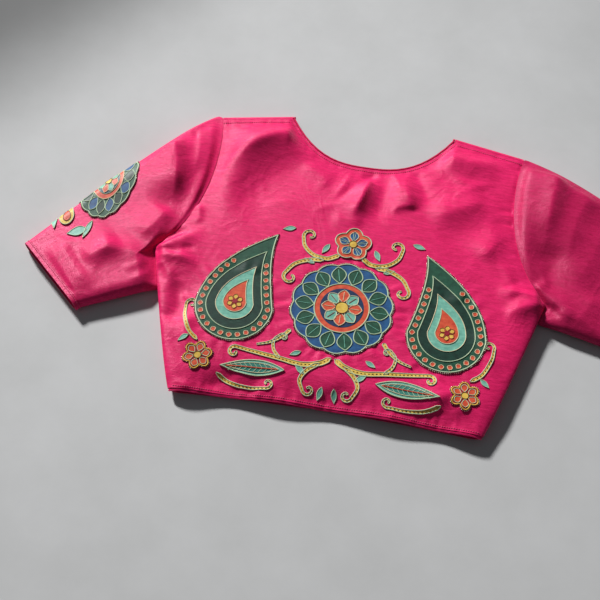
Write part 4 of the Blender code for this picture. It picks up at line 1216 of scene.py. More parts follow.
class Motif:
    """The layers and cords of one motif, gathered and then laid on the cloth as one piece."""

    def __init__(self, place, lift=0.0):
        self.place = place
        self.lift = lift
        self.points = []
        self.faces = []
        self.uv = []
        self.finishes = []
        self.indices = []
        self.count = 0

    def keep(self, points, faces, uv, finish):
        if finish not in self.finishes:
            self.finishes.append(finish)
        self.points.append(points)
        self.faces += [tuple(int(v) + self.count for v in face) for face in faces]
        self.uv += [uv[v] for face in faces for v in face]
        self.indices += [self.finishes.index(finish)] * len(faces)
        self.count += len(points)

    def slab(self, outline, layer, finish, spacing=MOTIF_CELL):
        """A closed piece of cloth over an outline; higher layers lie on lower ones."""
        low, high = MOTIF_BASE
        if layer:
            low, high = high - MOTIF_OVERLAP, high + layer * MOTIF_LAYER
        flat, triangles = filled(subdivided(outline, spacing), spacing)
        a, b, c = (flat[triangles[:, k]] for k in range(3))
        turn = (b[:, 0] - a[:, 0]) * (c[:, 1] - a[:, 1]) - (b[:, 1] - a[:, 1]) * (c[:, 0] - a[:, 0])
        triangles[turn < 0.0] = triangles[turn < 0.0][:, ::-1]
        count = len(flat)
        ends = np.roll(triangles, -1, axis=1)
        pairs = np.stack([triangles.ravel(), ends.ravel()], axis=1)
        keys = np.sort(pairs, axis=1) @ np.array([count, 1])
        _, index, uses = np.unique(keys, return_index=True, return_counts=True)
        rim = pairs[index[uses == 1]]
        walls = [(b, a, a + count, b + count) for a, b in rim]
        faces = [tuple(t) for t in triangles] + [tuple(t[::-1] + count) for t in triangles] + walls
        points = np.vstack([self.place(flat, self.lift + high), self.place(flat, self.lift + low)])
        self.keep(points, faces, np.vstack([flat, flat]), finish)

    def cord(self, line, radius, height, finish, closed=False):
        """A round cord along a line of plan points, its middle at a height over the cloth."""
        middle = self.place(line, self.lift + height)
        up = unit(self.place(line, self.lift + height + 0.002) - middle)
        if closed:
            ahead = unit(np.roll(middle, -1, axis=0) - np.roll(middle, 1, axis=0))
        else:
            ahead = unit(np.gradient(middle, axis=0))
        aside = unit(np.cross(ahead, up))
        over = np.cross(aside, ahead)
        sides = CORD_SIDES
        turns = np.linspace(0.0, 2 * math.pi, sides, endpoint=False)
        rings = middle[:, None] + radius * (
            np.cos(turns)[None, :, None] * aside[:, None] + np.sin(turns)[None, :, None] * over[:, None]
        )
        count = len(line)
        length = np.concatenate([[0.0], np.cumsum(np.linalg.norm(np.diff(middle, axis=0), axis=1))])
        uv = np.stack(
            [np.repeat(length[:, None], sides, axis=1), np.repeat(turns[None] * radius, count, axis=0)],
            axis=-1,
        )
        last = count if closed else count - 1
        faces = []
        for k in range(last):
            n = (k + 1) % count
            for s in range(sides):
                t = (s + 1) % sides
                faces.append((k * sides + s, k * sides + t, n * sides + t, n * sides + s))
        if not closed:
            faces.append(tuple(range(sides))[::-1])
            faces.append(tuple((count - 1) * sides + s for s in range(sides)))
        self.keep(rings.reshape(-1, 3), faces, uv.reshape(-1, 2), finish)

    def edged(self, outline, layer, finish, edge, radius, inward=0.0005, spacing=MOTIF_CELL):
        """A slab with a cord sewn round just inside its edge."""
        self.slab(outline, layer, finish, spacing)
        height = MOTIF_BASE[1] + layer * MOTIF_LAYER
        line = subdivided(inset_outline(outline, inward), CORD_CELL)
        self.cord(line, radius, height, edge, closed=True)

    def piece(self, name):
        materials = [motif_finish(finish) for finish in self.finishes]
        return mesh_object(name, np.vstack(self.points), self.faces, materials, self.uv, self.indices)


def on_back(surface):
    """Lays plan points on the back: straight down onto its outer surface."""
    grid, _ = surface
    rows, columns = grid.shape[:2]
    i, j = (a.ravel() for a in np.meshgrid(np.arange(rows - 1), np.arange(columns - 1), indexing="ij"))
    faces = np.stack([i * columns + j, i * columns + j + 1, (i + 1) * columns + j + 1,
                      (i + 1) * columns + j], axis=1)
    tree = BVHTree.FromPolygons(grid.reshape(-1, 3).tolist(), faces.tolist())

    def place(plan, lift):
        laid = np.empty((len(plan), 3))
        for k, (x, y) in enumerate(plan):
            point, normal, _, _ = tree.ray_cast(Vector((x, frame_y(y), 0.1)), Vector((0, 0, -1)))
            if point is None:
                raise RuntimeError("a motif reaches past the back")
            laid[k] = point + normal * (lift if normal.z > 0.0 else -lift)
        return laid

    return place


def on_sleeve(grid, normals, uv, upper):
    """Lays points on a sleeve's upper side: metres along it, and metres from its folded edge."""
    stations = uv[:, 0, 0]
    from_fold = uv[:, upper - 1, 1][:, None] - uv[:, :upper, 1]

    def at_station(i, distance, lift):
        order = from_fold[i][::-1]
        points = grid[i, :upper][::-1] + normals[i, :upper][::-1] * lift
        return np.array([np.interp(distance, order, points[:, axis]) for axis in range(3)])

    def place(plan, lift):
        laid = np.empty((len(plan), 3))
        for k, (along, distance) in enumerate(plan):
            i = int(np.clip(np.searchsorted(stations, along) - 1, 0, len(stations) - 2))
            share = (along - stations[i]) / (stations[i + 1] - stations[i])
            first, second = at_station(i, distance, lift), at_station(i + 1, distance, lift)
            laid[k] = first + (second - first) * share
        return laid

    return place


def medallion(place):
    """The round centre motif: rings of petals about a flower."""
    x, y, radius = MEDALLION
    middle = np.array([x, y])
    made = Motif(place)
    made.edged(lobed_outline(radius, *ROUND_LOBES, 84) + middle, 0, "blue", "mint", 0.0008)
    for k in range(14):
        turn = 360.0 * (k + 0.5) / 14
        outer = turned(petal_outline(0.031, 0.0535, 0.0088, 1.1), turn) + middle
        made.edged(outer, 1, "green", "mint", 0.0006)
        rib = turned(rib_line(0.035, 0.050, 10), turn) + middle
        made.cord(rib, 0.0004, MOTIF_BASE[1] + 1.2 * MOTIF_LAYER, "teal")
    made.edged(circle(x, y, 0.0315, 60), 2, "coral", "mint", 0.0007)
    made.slab(circle(x, y, 0.0248, 48), 3, "deep_blue")
    for k in range(8):
        turn = 360.0 * k / 8
        inner = turned(petal_outline(0.006, 0.0235, 0.0070, 1.15), turn) + middle
        made.edged(inner, 4, "teal" if k % 2 else "coral", "cream", 0.0005)
        rib = turned(rib_line(0.010, 0.020, 6), turn) + middle
        made.cord(rib, 0.0004, MOTIF_BASE[1] + 4.4 * MOTIF_LAYER, "maroon" if k % 2 else "cream")
    made.edged(circle(x, y, 0.0078, 24), 6, "yellow", "brown", 0.0005)
    return made.piece("motif_medallion")


def lotus(place):
    """The small flower above the medallion."""
    x, y, radius = LOTUS
    middle = np.array([x, y])
    made = Motif(place)
    made.edged(lobed_outline(radius, 5, 0.22, 60) + middle, 0, "coral", "mint", 0.0007)
    for k in range(5):
        turn = 360.0 * k / 5
        made.edged(turned(petal_outline(0.003, 0.0175, 0.0056, 1.2), turn) + middle, 1,
                   "blue", "cream", 0.0005)
        for lean in (-LOTUS_RIB_LEAN, LOTUS_RIB_LEAN):
            rib = turned(rib_line(0.006, 0.0155, 6), turn + lean)
            made.cord(rib + middle, 0.0003, MOTIF_BASE[1] + 1.4 * MOTIF_LAYER, "mint")
    made.edged(circle(x, y, 0.0050, 20), 3, "yellow", "brown", 0.0004)
    return made.piece("motif_lotus")


def paisley(place, side):
    """A large drop with a scalloped border and a smaller drop within."""
    x, y, size = PAISLEY
    mirror = np.array([side, 1.0])
    middle = np.array([x, y])

    def at(outline):
        return (outline + middle) * mirror

    def nested(scale, rise):
        return paisley_outline(size * scale, 72) + np.array([0.0, rise])

    made = Motif(place)
    outer = paisley_outline(size, 88)
    made.edged(at(outer), 0, "green", "mint", 0.0008)
    made.edged(at(nested(0.74, 0.0015)), 1, "deep_green", "mint", 0.0006)
    border = evenly(inset_outline(paisley_outline(size, 160), 0.0058), 0.0095)
    tangent = unit(np.roll(border, -1, axis=0) - np.roll(border, 1, axis=0))
    for (px, py), (tx, ty) in zip(border, tangent):
        if py > size * 1.3:
            continue
        turn = math.degrees(math.atan2(tx, ty)) + 90.0
        drop = turned(petal_outline(-0.0034, 0.0034, 0.0034, 0.9, 16), turn) + (px, py)
        made.edged(at(drop), 1, "coral", "cream", 0.0004)
    made.edged(at(nested(0.50, 0.0030)), 2, "teal", "cream", 0.0005)
    made.edged(at(nested(0.31, 0.0040)), 3, "coral", "mint", 0.0005)
    for k in range(6):
        petal = turned(petal_outline(0.002, 0.0098, 0.0034, 1.2, 16), 60.0 * k) + (0.0, 0.0040)
        made.edged(at(petal), 4, "yellow", "maroon", 0.0004)
    made.slab(at(circle(0.0, 0.0040, 0.0028, 14)), 6, "maroon")
    return made.piece(f"motif_paisley_{'left' if side < 0 else 'right'}")


def flower(place, side):
    """A maroon flower with a yellow eye."""
    x, y, radius, turn = FLOWER
    mirror = np.array([side, 1.0])
    middle = np.array([x, y])
    made = Motif(place)
    base = turned(lobed_outline(radius, *FLOWER_LOBES, 72), turn) + middle
    made.edged(base * mirror, 0, "maroon", "yellow", 0.0007)
    for k in range(6):
        petal = turned(petal_outline(0.0035, 0.0142, 0.0042, 1.3, 20), turn + 60.0 * k) + middle
        made.edged(petal * mirror, 1, "coral", "mint", 0.0004)
    made.edged(circle(x * side, y, 0.0046, 20), 2, "yellow", "brown", 0.0004)
    return made.piece(f"motif_flower_{'left' if side < 0 else 'right'}")


def leaf(place, side):
    """A teal leaf with a rib and dots."""
    x, y, length, turn = LEAF
    mirror = np.array([side, 1.0])
    middle = np.array([x, y])

    def at(outline):
        return (turned(outline, turn) + middle) * mirror

    made = Motif(place)
    made.edged(at(leaf_outline(length, length * 0.26, 56)), 0, "teal", "mint", 0.0007)
    made.edged(at(leaf_outline(length * 0.84, length * 0.17, 48)), 1, "deep_teal", "cream", 0.0004)
    rib = np.column_stack([np.linspace(-0.78, 0.80, 30) * length, np.zeros(30)])
    made.cord(at(rib), 0.0006, MOTIF_BASE[1] + 1.6 * MOTIF_LAYER, "coral")
    for k in range(9):
        ahead = (-0.62 + 0.155 * k) * length + np.linspace(0.0, 0.0035, 5)
        out = np.linspace(0.0006, 0.0046, 5)
        for way in (-1, 1):
            vein = np.column_stack([ahead, way * out])
            made.cord(at(vein), 0.0003, MOTIF_BASE[1] + 1.4 * MOTIF_LAYER, "mint")
    return made.piece(f"motif_leaf_{'left' if side < 0 else 'right'}")


def vine_lines():
    """The stems' lines on the right half, in metres."""
    return [
        (curled(smooth_line(np.array(points) * MM), radius * MM, turn), width * MM)
        for points, radius, turn, width in VINES
    ]


def vines(place, side):
    """The scrolling yellow stems with their small leaves, worked in flat stitches."""
    mirror = np.array([side, 1.0])
    made = Motif(place, -0.0003)
    for line, width in vine_lines():
        made.edged(ribbon_outline(line, width) * mirror, 0, "yellow", "mint", 0.0005, 0.0003, 0.003)
    for x, y, turn, length in SPRIG_LEAVES:
        shape = turned(leaf_outline(length * MM, length * MM * 0.42, 24), -turn) + (x * MM, y * MM)
        made.edged(shape * mirror, 0, "teal", "mint", 0.0004)
    return made.piece(f"motif_vines_{'left' if side < 0 else 'right'}")


def clipped(outline, limit):
    """The part of an outline on the visible side of a sleeve's folded edge."""
    kept = []
    for a, b in zip(outline, np.roll(outline, -1, axis=0)):
        if a[1] >= limit:
            kept.append(a)
        if (a[1] >= limit) != (b[1] >= limit):
            kept.append(a + (b - a) * (limit - a[1]) / (b[1] - a[1]))
    return np.array(kept)


def sleeve_motif(name, place, length):
    """The half-seen round motif on a sleeve's fold, a small drop and a leaf beside it."""
    station, distance, radius = SLEEVE_ROSETTE
    middle = np.array([station * length, distance])
    limit = 0.0004
    made = Motif(place)

    def put(outline, layer, finish, edge, cord_radius):
        shape = clipped(outline, limit)
        if len(shape) > 3 and np.ptp(shape[:, 1]) > 0.002:
            made.edged(shape, layer, finish, edge, cord_radius, 0.0003)

    put(lobed_outline(radius, *ROUND_LOBES, 84) + middle, 0, "green", "mint", 0.0008)
    for k in range(14):
        turn = 360.0 * (k + 0.5) / 14
        put(turned(petal_outline(0.022, 0.0400, 0.0070, 1.1), turn) + middle, 1,
            "blue" if k % 2 else "deep_green", "mint", 0.0005)
    put(circle(*middle, 0.0225, 48), 2, "coral", "cream", 0.0006)
    put(circle(*middle, 0.0165, 36), 3, "deep_blue", "mint", 0.0004)
    for k in range(8):
        put(turned(petal_outline(0.004, 0.0155, 0.0048, 1.15), 45.0 * k) + middle, 4,
            "coral" if k % 2 else "teal", "cream", 0.0004)
    put(circle(*middle, 0.0050, 20), 6, "yellow", "brown", 0.0004)
    drop = turned(paisley_outline(0.0105, 48), 150.0) + middle + (0.066, 0.004)
    put(drop, 0, "yellow", "mint", 0.0006)
    inner = turned(paisley_outline(0.0055, 32), 150.0) + middle + (0.066, 0.005)
    put(inner, 1, "coral", "brown", 0.0004)
    leaves = ((0.061, 0.031, -25.0, 0.016), (0.046, 0.039, 30.0, 0.012), (0.082, -0.002, 60.0, 0.011))
    for along, across, turn, size in leaves:
        put(turned(leaf_outline(size, size * 0.36, 30), turn) + middle + (along, across), 0,
            "teal", "mint", 0.0005)
    return made.piece(f"motif_sleeve_{name}")


MOTIF_COLOURS = {
    "green": ((0.006, 0.045, 0.026), (0.018, 0.105, 0.060)),
    "deep_green": ((0.003, 0.020, 0.014), (0.008, 0.050, 0.034)),
    "blue": ((0.006, 0.045, 0.150), (0.020, 0.120, 0.300)),
    "deep_blue": ((0.004, 0.016, 0.060), (0.010, 0.045, 0.130)),
    "teal": ((0.100, 0.330, 0.260), (0.230, 0.560, 0.440)),
    "deep_teal": ((0.020, 0.150, 0.125), (0.060, 0.270, 0.220)),
    "coral": ((0.480, 0.035, 0.018), (0.760, 0.130, 0.055)),
    "maroon": ((0.180, 0.004, 0.018), (0.420, 0.012, 0.035)),
    "yellow": ((0.560, 0.330, 0.035), (0.830, 0.600, 0.120)),
}
CORD_COLOURS = {
    "mint": (0.560, 0.720, 0.480),
    "cream": (0.800, 0.700, 0.460),
    "brown": (0.120, 0.035, 0.015),
}


def motif_finish(name):
    if name in CORD_COLOURS:
        return thread_material(f"{name}_thread", CORD_COLOURS[name])
    deep, bright = MOTIF_COLOURS[name]
    return applique_material(f"{name}_applique", deep, bright)


def twist_group():
    """Shader group: a twisted thread's slanting plies."""
    known = bpy.data.node_groups.get("Twisted thread")
    if known:
        return known
    group, inside, outside = new_group(
        "Twisted thread",
        "ShaderNodeTree",
        {"Along": "Vector", "Ply Pitch": 0.0006},
        {"Ply": "Float"},
    )
    per_metre = number(group, "DIVIDE", 0.3, inside.outputs["Ply Pitch"])
    shrink = vector(group, "SCALE", inside.outputs["Along"])
    feed(group, shrink, {"Scale": per_metre})
    ply = add(
        group,
        "ShaderNodeTexWave",
        {"Vector": shrink.outputs[0], "Scale": 1.0, "Distortion": 0.5},
        wave_type="BANDS",
        bands_direction="DIAGONAL",
    )
    feed(group, outside, {"Ply": ply.outputs["Fac"]})
    return group


def thread_material(name, colour):
    """Lustrous twisted thread, its colour painted darker down in the grooves between its plies: painted
    shade over the plies' bump.
    """
    known = bpy.data.materials.get(name)
    if known:
        return known
    material, tree, shader, place = new_material(name)
    plies = {"Along": place["UV"], "Ply Pitch": 0.0006}
    ply = add(tree, "ShaderNodeGroup", plies, node_tree=twist_group()).outputs["Ply"]
    # Painted shade: darker where a ply's bump is lowest, lighter on its crest
    dark = [c * 0.62 for c in colour]
    light = [min(1.0, c * 1.12) for c in colour]
    looks = {
        "Base Color": ramp(tree, ply, dark, light),
        "Normal": bumped(tree, ply, 0.4, 0.0002),
        "Roughness": 0.48,
        "Specular IOR Level": 0.35,
    }
    feed(tree, shader, looks)
    return material


def applique_material(name, deep, bright):
    """Painted silk: fine yarns, and a colour that pools in soft darker strokes."""
    known = bpy.data.materials.get(name)
    if known:
        return known
    material, tree, shader, place = new_material(name)
    streaks = {"Cut": place["UV"], **APPLIQUE_YARNS}
    yarns = add(tree, "ShaderNodeGroup", streaks, node_tree=slub_group())
    wash = noise(tree, place["Object"], scale=160.0, detail=3.0)
    both = mixed(tree, 0.5, yarns.outputs["Shade"], wash)
    looks = {
        "Base Color": ramp(tree, both, deep, bright, 0.36, 0.64),
        "Normal": bumped(tree, yarns.outputs["Height"], 0.25, 0.0003),
        "Roughness": 0.46,
        "Specular IOR Level": 0.30,
    }
    feed(tree, shader, looks)
    return material


def line_tree(name, sizes):
    """The start of a geometry tree along a mesh's lines: points at an even pitch on each."""
    tree, inside, outside = new_group(
        name,
        "GeometryNodeTree",
        {"Lines": "Geometry", **sizes, "Finish": "Material"},
        {"Laid": "Geometry"},
    )
    curve = add(tree, "GeometryNodeMeshToCurve", {"Mesh": inside.outputs["Lines"]})
    pitch = {"Curve": curve.outputs["Curve"], "Length": inside.outputs["Pitch"]}
    even = add(tree, "GeometryNodeResampleCurve", pitch, mode="LENGTH")
    return tree, inside.outputs, outside, even.outputs["Curve"]


def lay(tree, given, outside, instances):
    """The end of a geometry tree on its points: copies as real meshes, with their finish."""
    laid = add(tree, "GeometryNodeInstanceOnPoints", instances)
    real = add(tree, "GeometryNodeRealizeInstances", {"Geometry": laid.outputs["Instances"]})
    finish = {"Geometry": real.outputs["Geometry"], "Material": given["Finish"]}
    finished = add(tree, "GeometryNodeSetMaterial", finish)
    feed(tree, outside, {"Laid": finished.outputs["Geometry"]})
    return tree


def bead_tree():
    """Geometry nodes: beads strung at an even pitch along every line of a mesh."""
    known = bpy.data.node_groups.get("Strung beads")
    if known:
        return known
    sizes = {"Pitch": 0.0022, "Bead Radius": 0.0009, "Unevenness": 0.18}
    tree, given, outside, points = line_tree("Strung beads", sizes)
    ball = {"Segments": 8, "Rings": 5, "Radius": given["Bead Radius"]}
    bead = add(tree, "GeometryNodeMeshUVSphere", ball)
    spread = {"Min": number(tree, "SUBTRACT", 1.0, given["Unevenness"]), "Max": 1.0, "Seed": 7}
    size = add(tree, "FunctionNodeRandomValue", spread, data_type="FLOAT")
    copies = {"Points": points, "Instance": bead.outputs["Mesh"], "Scale": size.outputs["Value"]}
    return lay(tree, given, outside, copies)


def stitch_tree():
    """Geometry nodes: short thread stitches end to end, with gaps, along a mesh's lines."""
    known = bpy.data.node_groups.get("Running stitches")
    if known:
        return known
    sizes = {"Pitch": 0.0036, "Stitch Length": 0.0024, "Thread Radius": 0.00025}
    tree, given, outside, points = line_tree("Running stitches", sizes)
    ball = {"Segments": 6, "Rings": 4, "Radius": 1.0}
    stitch = add(tree, "GeometryNodeMeshUVSphere", ball)
    thick = given["Thread Radius"]
    half = number(tree, "MULTIPLY", given["Stitch Length"], 0.5)
    shape = add(tree, "ShaderNodeCombineXYZ", {0: thick, 1: thick, 2: half})
    heading = add(tree, "GeometryNodeInputTangent")
    way = {"Vector": heading.outputs["Tangent"]}
    lean = add(tree, "FunctionNodeAlignRotationToVector", way, axis="Z")
    copies = {
        "Points": points,
        "Instance": stitch.outputs["Mesh"],
        "Rotation": lean.outputs["Rotation"],
        "Scale": shape.outputs["Vector"],
    }
    return lay(tree, given, outside, copies)


def along_lines(name, lines, tree, material, **values):
    """A piece made by a node tree along lines: each line is its points and whether it closes."""
    points = np.vstack([line for line, _ in lines])
    edges, start = [], 0
    for line, closed in lines:
        edges += [(start + k, start + k + 1) for k in range(len(line) - 1)]
        if closed:
            edges.append((start + len(line) - 1, start))
        start += len(line)
    mesh = bpy.data.meshes.new(f"{name}_lines")
    mesh.from_pydata(points.tolist(), edges, [])
    guide = bpy.data.objects.new(f"{name}_lines", mesh)
    bpy.context.scene.collection.objects.link(guide)
    worker = guide.modifiers.new("along", "NODES")
    worker.node_group = tree
    values["Finish"] = material
    for item in tree.interface.items_tree:
        if item.item_type == "SOCKET" and item.in_out == "INPUT" and item.name in values:
            worker[item.identifier] = values[item.name]
    evaluated = guide.evaluated_get(bpy.context.evaluated_depsgraph_get())
    made = bpy.data.objects.new(name, bpy.data.meshes.new_from_object(evaluated))
    guide.modifiers.remove(worker)
    bpy.data.objects.remove(guide)
    bpy.context.scene.collection.objects.link(made)
    made.data.shade_smooth()
    return made


def bead_material():
    """Small glass beads over a metal lining."""
    known = bpy.data.materials.get("lined_beads")
    if known:
        return known
    material, tree, shader, place = new_material("lined_beads")
    tone = noise(tree, place["Object"], scale=260.0)
    looks = {
        "Base Color": ramp(tree, tone, (0.16, 0.05, 0.05), (0.66, 0.60, 0.52), 0.42, 0.60),
        "Metallic": 0.35,
        "Roughness": 0.22,
    }
    feed(tree, shader, looks)
    return material


class BlouseCloth(bpy.types.PropertyGroup):
    thickness: FloatProperty(
        name="Cloth", description="Thickness of the cloth", default=0.0012, unit="LENGTH"
    )
    cell: FloatProperty(
        name="Detail", description="Spacing of the back's points", default=0.0024, unit="LENGTH"
    )
    hidden_cell: FloatProperty(
        name="Front detail", description="Spacing of the fronts' points", default=0.006, unit="LENGTH"
    )


class BlouseSilk(bpy.types.PropertyGroup):
    deep_colour: FloatVectorProperty(
        name="Deep yarn", description="Colour of the darker yarns", default=(0.50, 0.003, 0.065),
        subtype="COLOR", size=3,
    )
    bright_colour: FloatVectorProperty(
        name="Bright yarn", description="Colour of the brighter yarns", default=(0.97, 0.027, 0.190),
        subtype="COLOR", size=3,
    )
    roughness: FloatProperty(name="Roughness", description="Roughness of the silk", default=0.42)
    sheen: FloatProperty(name="Sheen", description="Strength of the silk's sheen", default=0.06)


class BlouseStudio(bpy.types.PropertyGroup):
    key_strength: FloatProperty(
        name="Key light", description="Strength of the main light", default=5.6
    )
    fill_strength: FloatProperty(
        name="Fill light", description="Strength of the room's light", default=0.10
    )
    key_softness: FloatProperty(
        name="Key softness", description="Spread of the main light", default=math.radians(7.0),
        subtype="ANGLE",
    )


def cloth_settings():
    return bpy.context.scene.blouse_cloth


class BLOUSE_OT_back(bpy.types.Operator):
    """The back panel, with its folds and creases"""

    bl_idname = "blouse.back"
    bl_label = "Back"

    def execute(self, context):
        settings = cloth_settings()
        grid, normals = back_surface(settings.cell)
        panel = grid.copy()
        panel[0, :, 1] += FACING_WIDTH
        back = wall_object("back_panel", panel, normals, settings.thickness, silk(), plan_uv(panel))
        dress(back, "silk", "back")
        hem = hem_strip(grid[0], normals[0], HEM_ROLL)
        hem_normals = np.repeat(normals[:1], len(hem), axis=0)
        edge = wall_object("hem_back", hem, hem_normals, BACK_HEM_THICK, silk(), plan_uv(hem))
        dress(edge, "silk", "hem_facing_back")
        flat_area(grid)
        return {"FINISHED"}


class BLOUSE_OT_fronts(bpy.types.Operator):
    """The two fronts, lapped at the centre and turned over the shoulders"""

    bl_idname = "blouse.fronts"
    bl_label = "Fronts"

    def execute(self, context):
        settings = cloth_settings()
        for name, side in (("left", -1), ("right", 1)):
            grid, rows, cloth = front_grid(side, settings.hidden_cell)
            extra = len(grid) - len(rows)
            outward = armhole_directions(rows, side) * np.array([1.0, 1.0, -1.0])
            outward = np.vstack([outward, np.repeat([[side, 0.0, 0.0]], extra, axis=0)])
            across = {
                "first_column": np.array([side, 0.0, 0.0]),
                "last_column": outward,
                "first_row": np.array([0.0, 1.0, 0.0]),
                "last_row": np.array([0.0, -1.0, 0.0]),
            }
            normals = grid_normals(grid, across=across) * -side
            panel = grid.copy()
            panel[0, :, 1] += FACING_WIDTH
            front = wall_object(
                f"front_panel_{name}", panel, normals, settings.thickness, silk(), plan_uv(panel), cloth
            )
            dress(front, "silk", f"front_{name}")
            hem = hem_strip(grid[0], normals[0], 0.0)
            hem_normals = np.repeat(normals[:1], len(hem), axis=0)
            edge = wall_object(
                f"hem_front_{name}", hem, hem_normals, HIDDEN_HEM_THICK, silk(), plan_uv(hem)
            )
            dress(edge, "silk", f"hem_facing_front_{name}")
        return {"FINISHED"}


class BLOUSE_OT_sleeves(bpy.types.Operator):
    """The two sleeves, each a tube with its turned cuff"""

    bl_idname = "blouse.sleeves"
    bl_label = "Sleeves"

    def execute(self, context):
        settings = cloth_settings()
        for name, sleeve in SLEEVES.items():
            # Each sleeve's silk is a copy scaled by its painted shade; the right one is darker
            finish = silk(f"slub_silk_{name}", SLEEVE_PAINTED_SHADE[name])
            grid, normals, uv, _ = sleeve_surface(name, settings.cell)
            axis = cuff_axis(sleeve)
            tube = wall_object(
                f"sleeve_tube_{name}", grid, normals, settings.thickness, finish, uv, closed=True
            )
            dress(tube, "silk", f"sleeve_{name}")
            outs = np.linspace(SEAM_GAP, SEAM_GAP + FACING_WIDTH, 5)
            cuff = np.array([grid[-1] + axis * out for out in outs])
            cuff_uv = np.repeat(uv[-1:], len(outs), axis=0).copy()
            cuff_uv[..., 0] += outs[:, None]
            cuff_normals = np.repeat(normals[-1:], len(outs), axis=0)
            edge = wall_object(
                f"cuff_{name}", cuff, cuff_normals, CUFF_THICK, finish, cuff_uv, closed=True
            )
            dress(edge, "silk", f"cuff_facing_{name}")
        return {"FINISHED"}


class BLOUSE_OT_trims(bpy.types.Operator):
    """The piped neck and the hooks, with their finishes"""

    bl_idname = "blouse.trims"
    bl_label = "Piping and hooks"

    def execute(self, context):
        for name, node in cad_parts.items():
            if name.startswith("neck_piping"):
                node.data.materials.clear()
                node.data.materials.append(piping_silk())
            if name.startswith("hook"):
                node.data.materials.clear()
                node.data.materials.append(metal("hook_steel", (0.62, 0.62, 0.60), 0.32))
        return {"FINISHED"}


class BLOUSE_OT_back_motifs(bpy.types.Operator):
    """The applied motifs on the back"""

    bl_idname = "blouse.back_motifs"
    bl_label = "Back motifs"

    def execute(self, context):
        place = on_back(back_surface(cloth_settings().cell))
        dress(medallion(place), "patch_blue", "patch_medallion")
        dress(lotus(place), "patch_coral", "patch_lotus")
        for name, side in (("left", -1), ("right", 1)):
            dress(paisley(place, side), "patch_green", f"patch_paisley_{name}")
            dress(flower(place, side), "patch_coral", f"patch_flower_{name}")
            dress(leaf(place, side), "patch_teal", f"patch_leaf_{name}")
            dress(vines(place, side), "patch_teal")
        return {"FINISHED"}


class BLOUSE_OT_sleeve_motifs(bpy.types.Operator):
    """The applied motifs on the sleeves"""

    bl_idname = "blouse.sleeve_motifs"
    bl_label = "Sleeve motifs"

    def execute(self, context):
        for name in SLEEVES:
            grid, normals, uv, upper = sleeve_surface(name, cloth_settings().cell)
            made = sleeve_motif(name, on_sleeve(grid, normals, uv, upper), uv[-1, 0, 0])
            dress(made, "patch_green", f"patch_sleeve_{name}")
        return {"FINISHED"}


class BLOUSE_OT_beads(bpy.types.Operator):
    """The strings of beads round the larger motifs"""

    bl_idname = "blouse.beads"
    bl_label = "Beads"

    def execute(self, context):
        place = on_back(back_surface(cloth_settings().cell))
        x, y, radius = MEDALLION
        shapes = [lobed_outline(radius + BEAD_OUT, *ROUND_LOBES, 280) + (x, y)]
        for side in (-1, 1):
            x, y, size = PAISLEY
            outer = subdivided(inset_outline(paisley_outline(size, 88), -BEAD_OUT), 0.0015)
            shapes.append((outer + (x, y)) * (side, 1.0))
            x, y, radius, turn = FLOWER
            petals = turned(lobed_outline(radius + FLOWER_BEAD_OUT, *FLOWER_LOBES, 96), turn)
            shapes.append((petals + (x, y)) * (side, 1.0))
        lines = [(place(shape, BEAD_HEIGHT), True) for shape in shapes]
        for name in SLEEVES:
            grid, normals, uv, upper = sleeve_surface(name, cloth_settings().cell)
            on = on_sleeve(grid, normals, uv, upper)
            station, distance, radius = SLEEVE_ROSETTE
            ring = lobed_outline(radius + BEAD_OUT, *ROUND_LOBES, 280)
            ring = ring + (station * uv[-1, 0, 0], distance)
            start = int(np.argmin(ring[:, 1]))
            ring = np.roll(ring, -start, axis=0)
            lines.append((on(ring[ring[:, 1] > BEAD_HEIGHT], BEAD_HEIGHT), False))
        sizes = {"Bead Radius": BEAD_RADIUS}
        beads = along_lines("beads", lines, bead_tree(), bead_material(), **sizes)
        dress(beads, "hook")
        return {"FINISHED"}


def neck_stitch_line(inwards):
    """A line round the back of the neck, a distance inside its edge, over the plan."""
    x = np.linspace(-HALF_NECK + 0.002, HALF_NECK - 0.002, 160)
    line = np.column_stack([x, back_top(x)])
    along = unit(np.gradient(line, axis=0))
    return line + np.column_stack([along[:, 1], -along[:, 0]]) * inwards


class BLOUSE_OT_stitches(bpy.types.Operator):
    """The stitching along the neck, shoulders, hem and cuffs, and on the yellow stems"""

    bl_idname = "blouse.stitches"
    bl_label = "Stitches"

    def execute(self, context):
        place = on_back(back_surface(cloth_settings().cell))
        hem_x = np.linspace(-HALF_WAIST + 0.005, HALF_WAIST - 0.005, 240)
        hem = np.column_stack([hem_x, hem_line(hem_x) + 0.0050])
        shoulder_x = np.linspace(HALF_NECK + 0.004, HALF_SHOULDER - 0.004, 60)
        shoulder = np.column_stack([shoulder_x, back_top(shoulder_x) - 0.0058])
        seams = [neck_stitch_line(0.0036), hem, shoulder * (-1, 1.0), shoulder * (1, 1.0)]
        lines = [(place(seam, STITCH_HEIGHT), False) for seam in seams]
        for name, sleeve in SLEEVES.items():
            grid, normals, _, _ = sleeve_surface(name, cloth_settings().cell)
            cuff = grid[-1] + cuff_axis(sleeve) * 0.0018 + normals[-1] * STITCH_HEIGHT
            cuff[:, 2] = np.maximum(cuff[:, 2], 0.0005)
            lines.append((cuff, True))
        thread = thread_material("pink_thread", (0.95, 0.12, 0.30))
        sewn = along_lines("seam_stitches", lines, stitch_tree(), thread, **SEAM_STITCHES)
        dress(sewn, "silk")
        height = MOTIF_BASE[1] - 0.0001
        stems = [
            (place(line * (side, 1.0), height), False) for line, _ in vine_lines() for side in (-1, 1)
        ]
        brown = motif_finish("brown")
        dashes = along_lines("stem_stitches", stems, stitch_tree(), brown, **STEM_STITCHES)
        dress(dashes, "patch_teal")
        return {"FINISHED"}


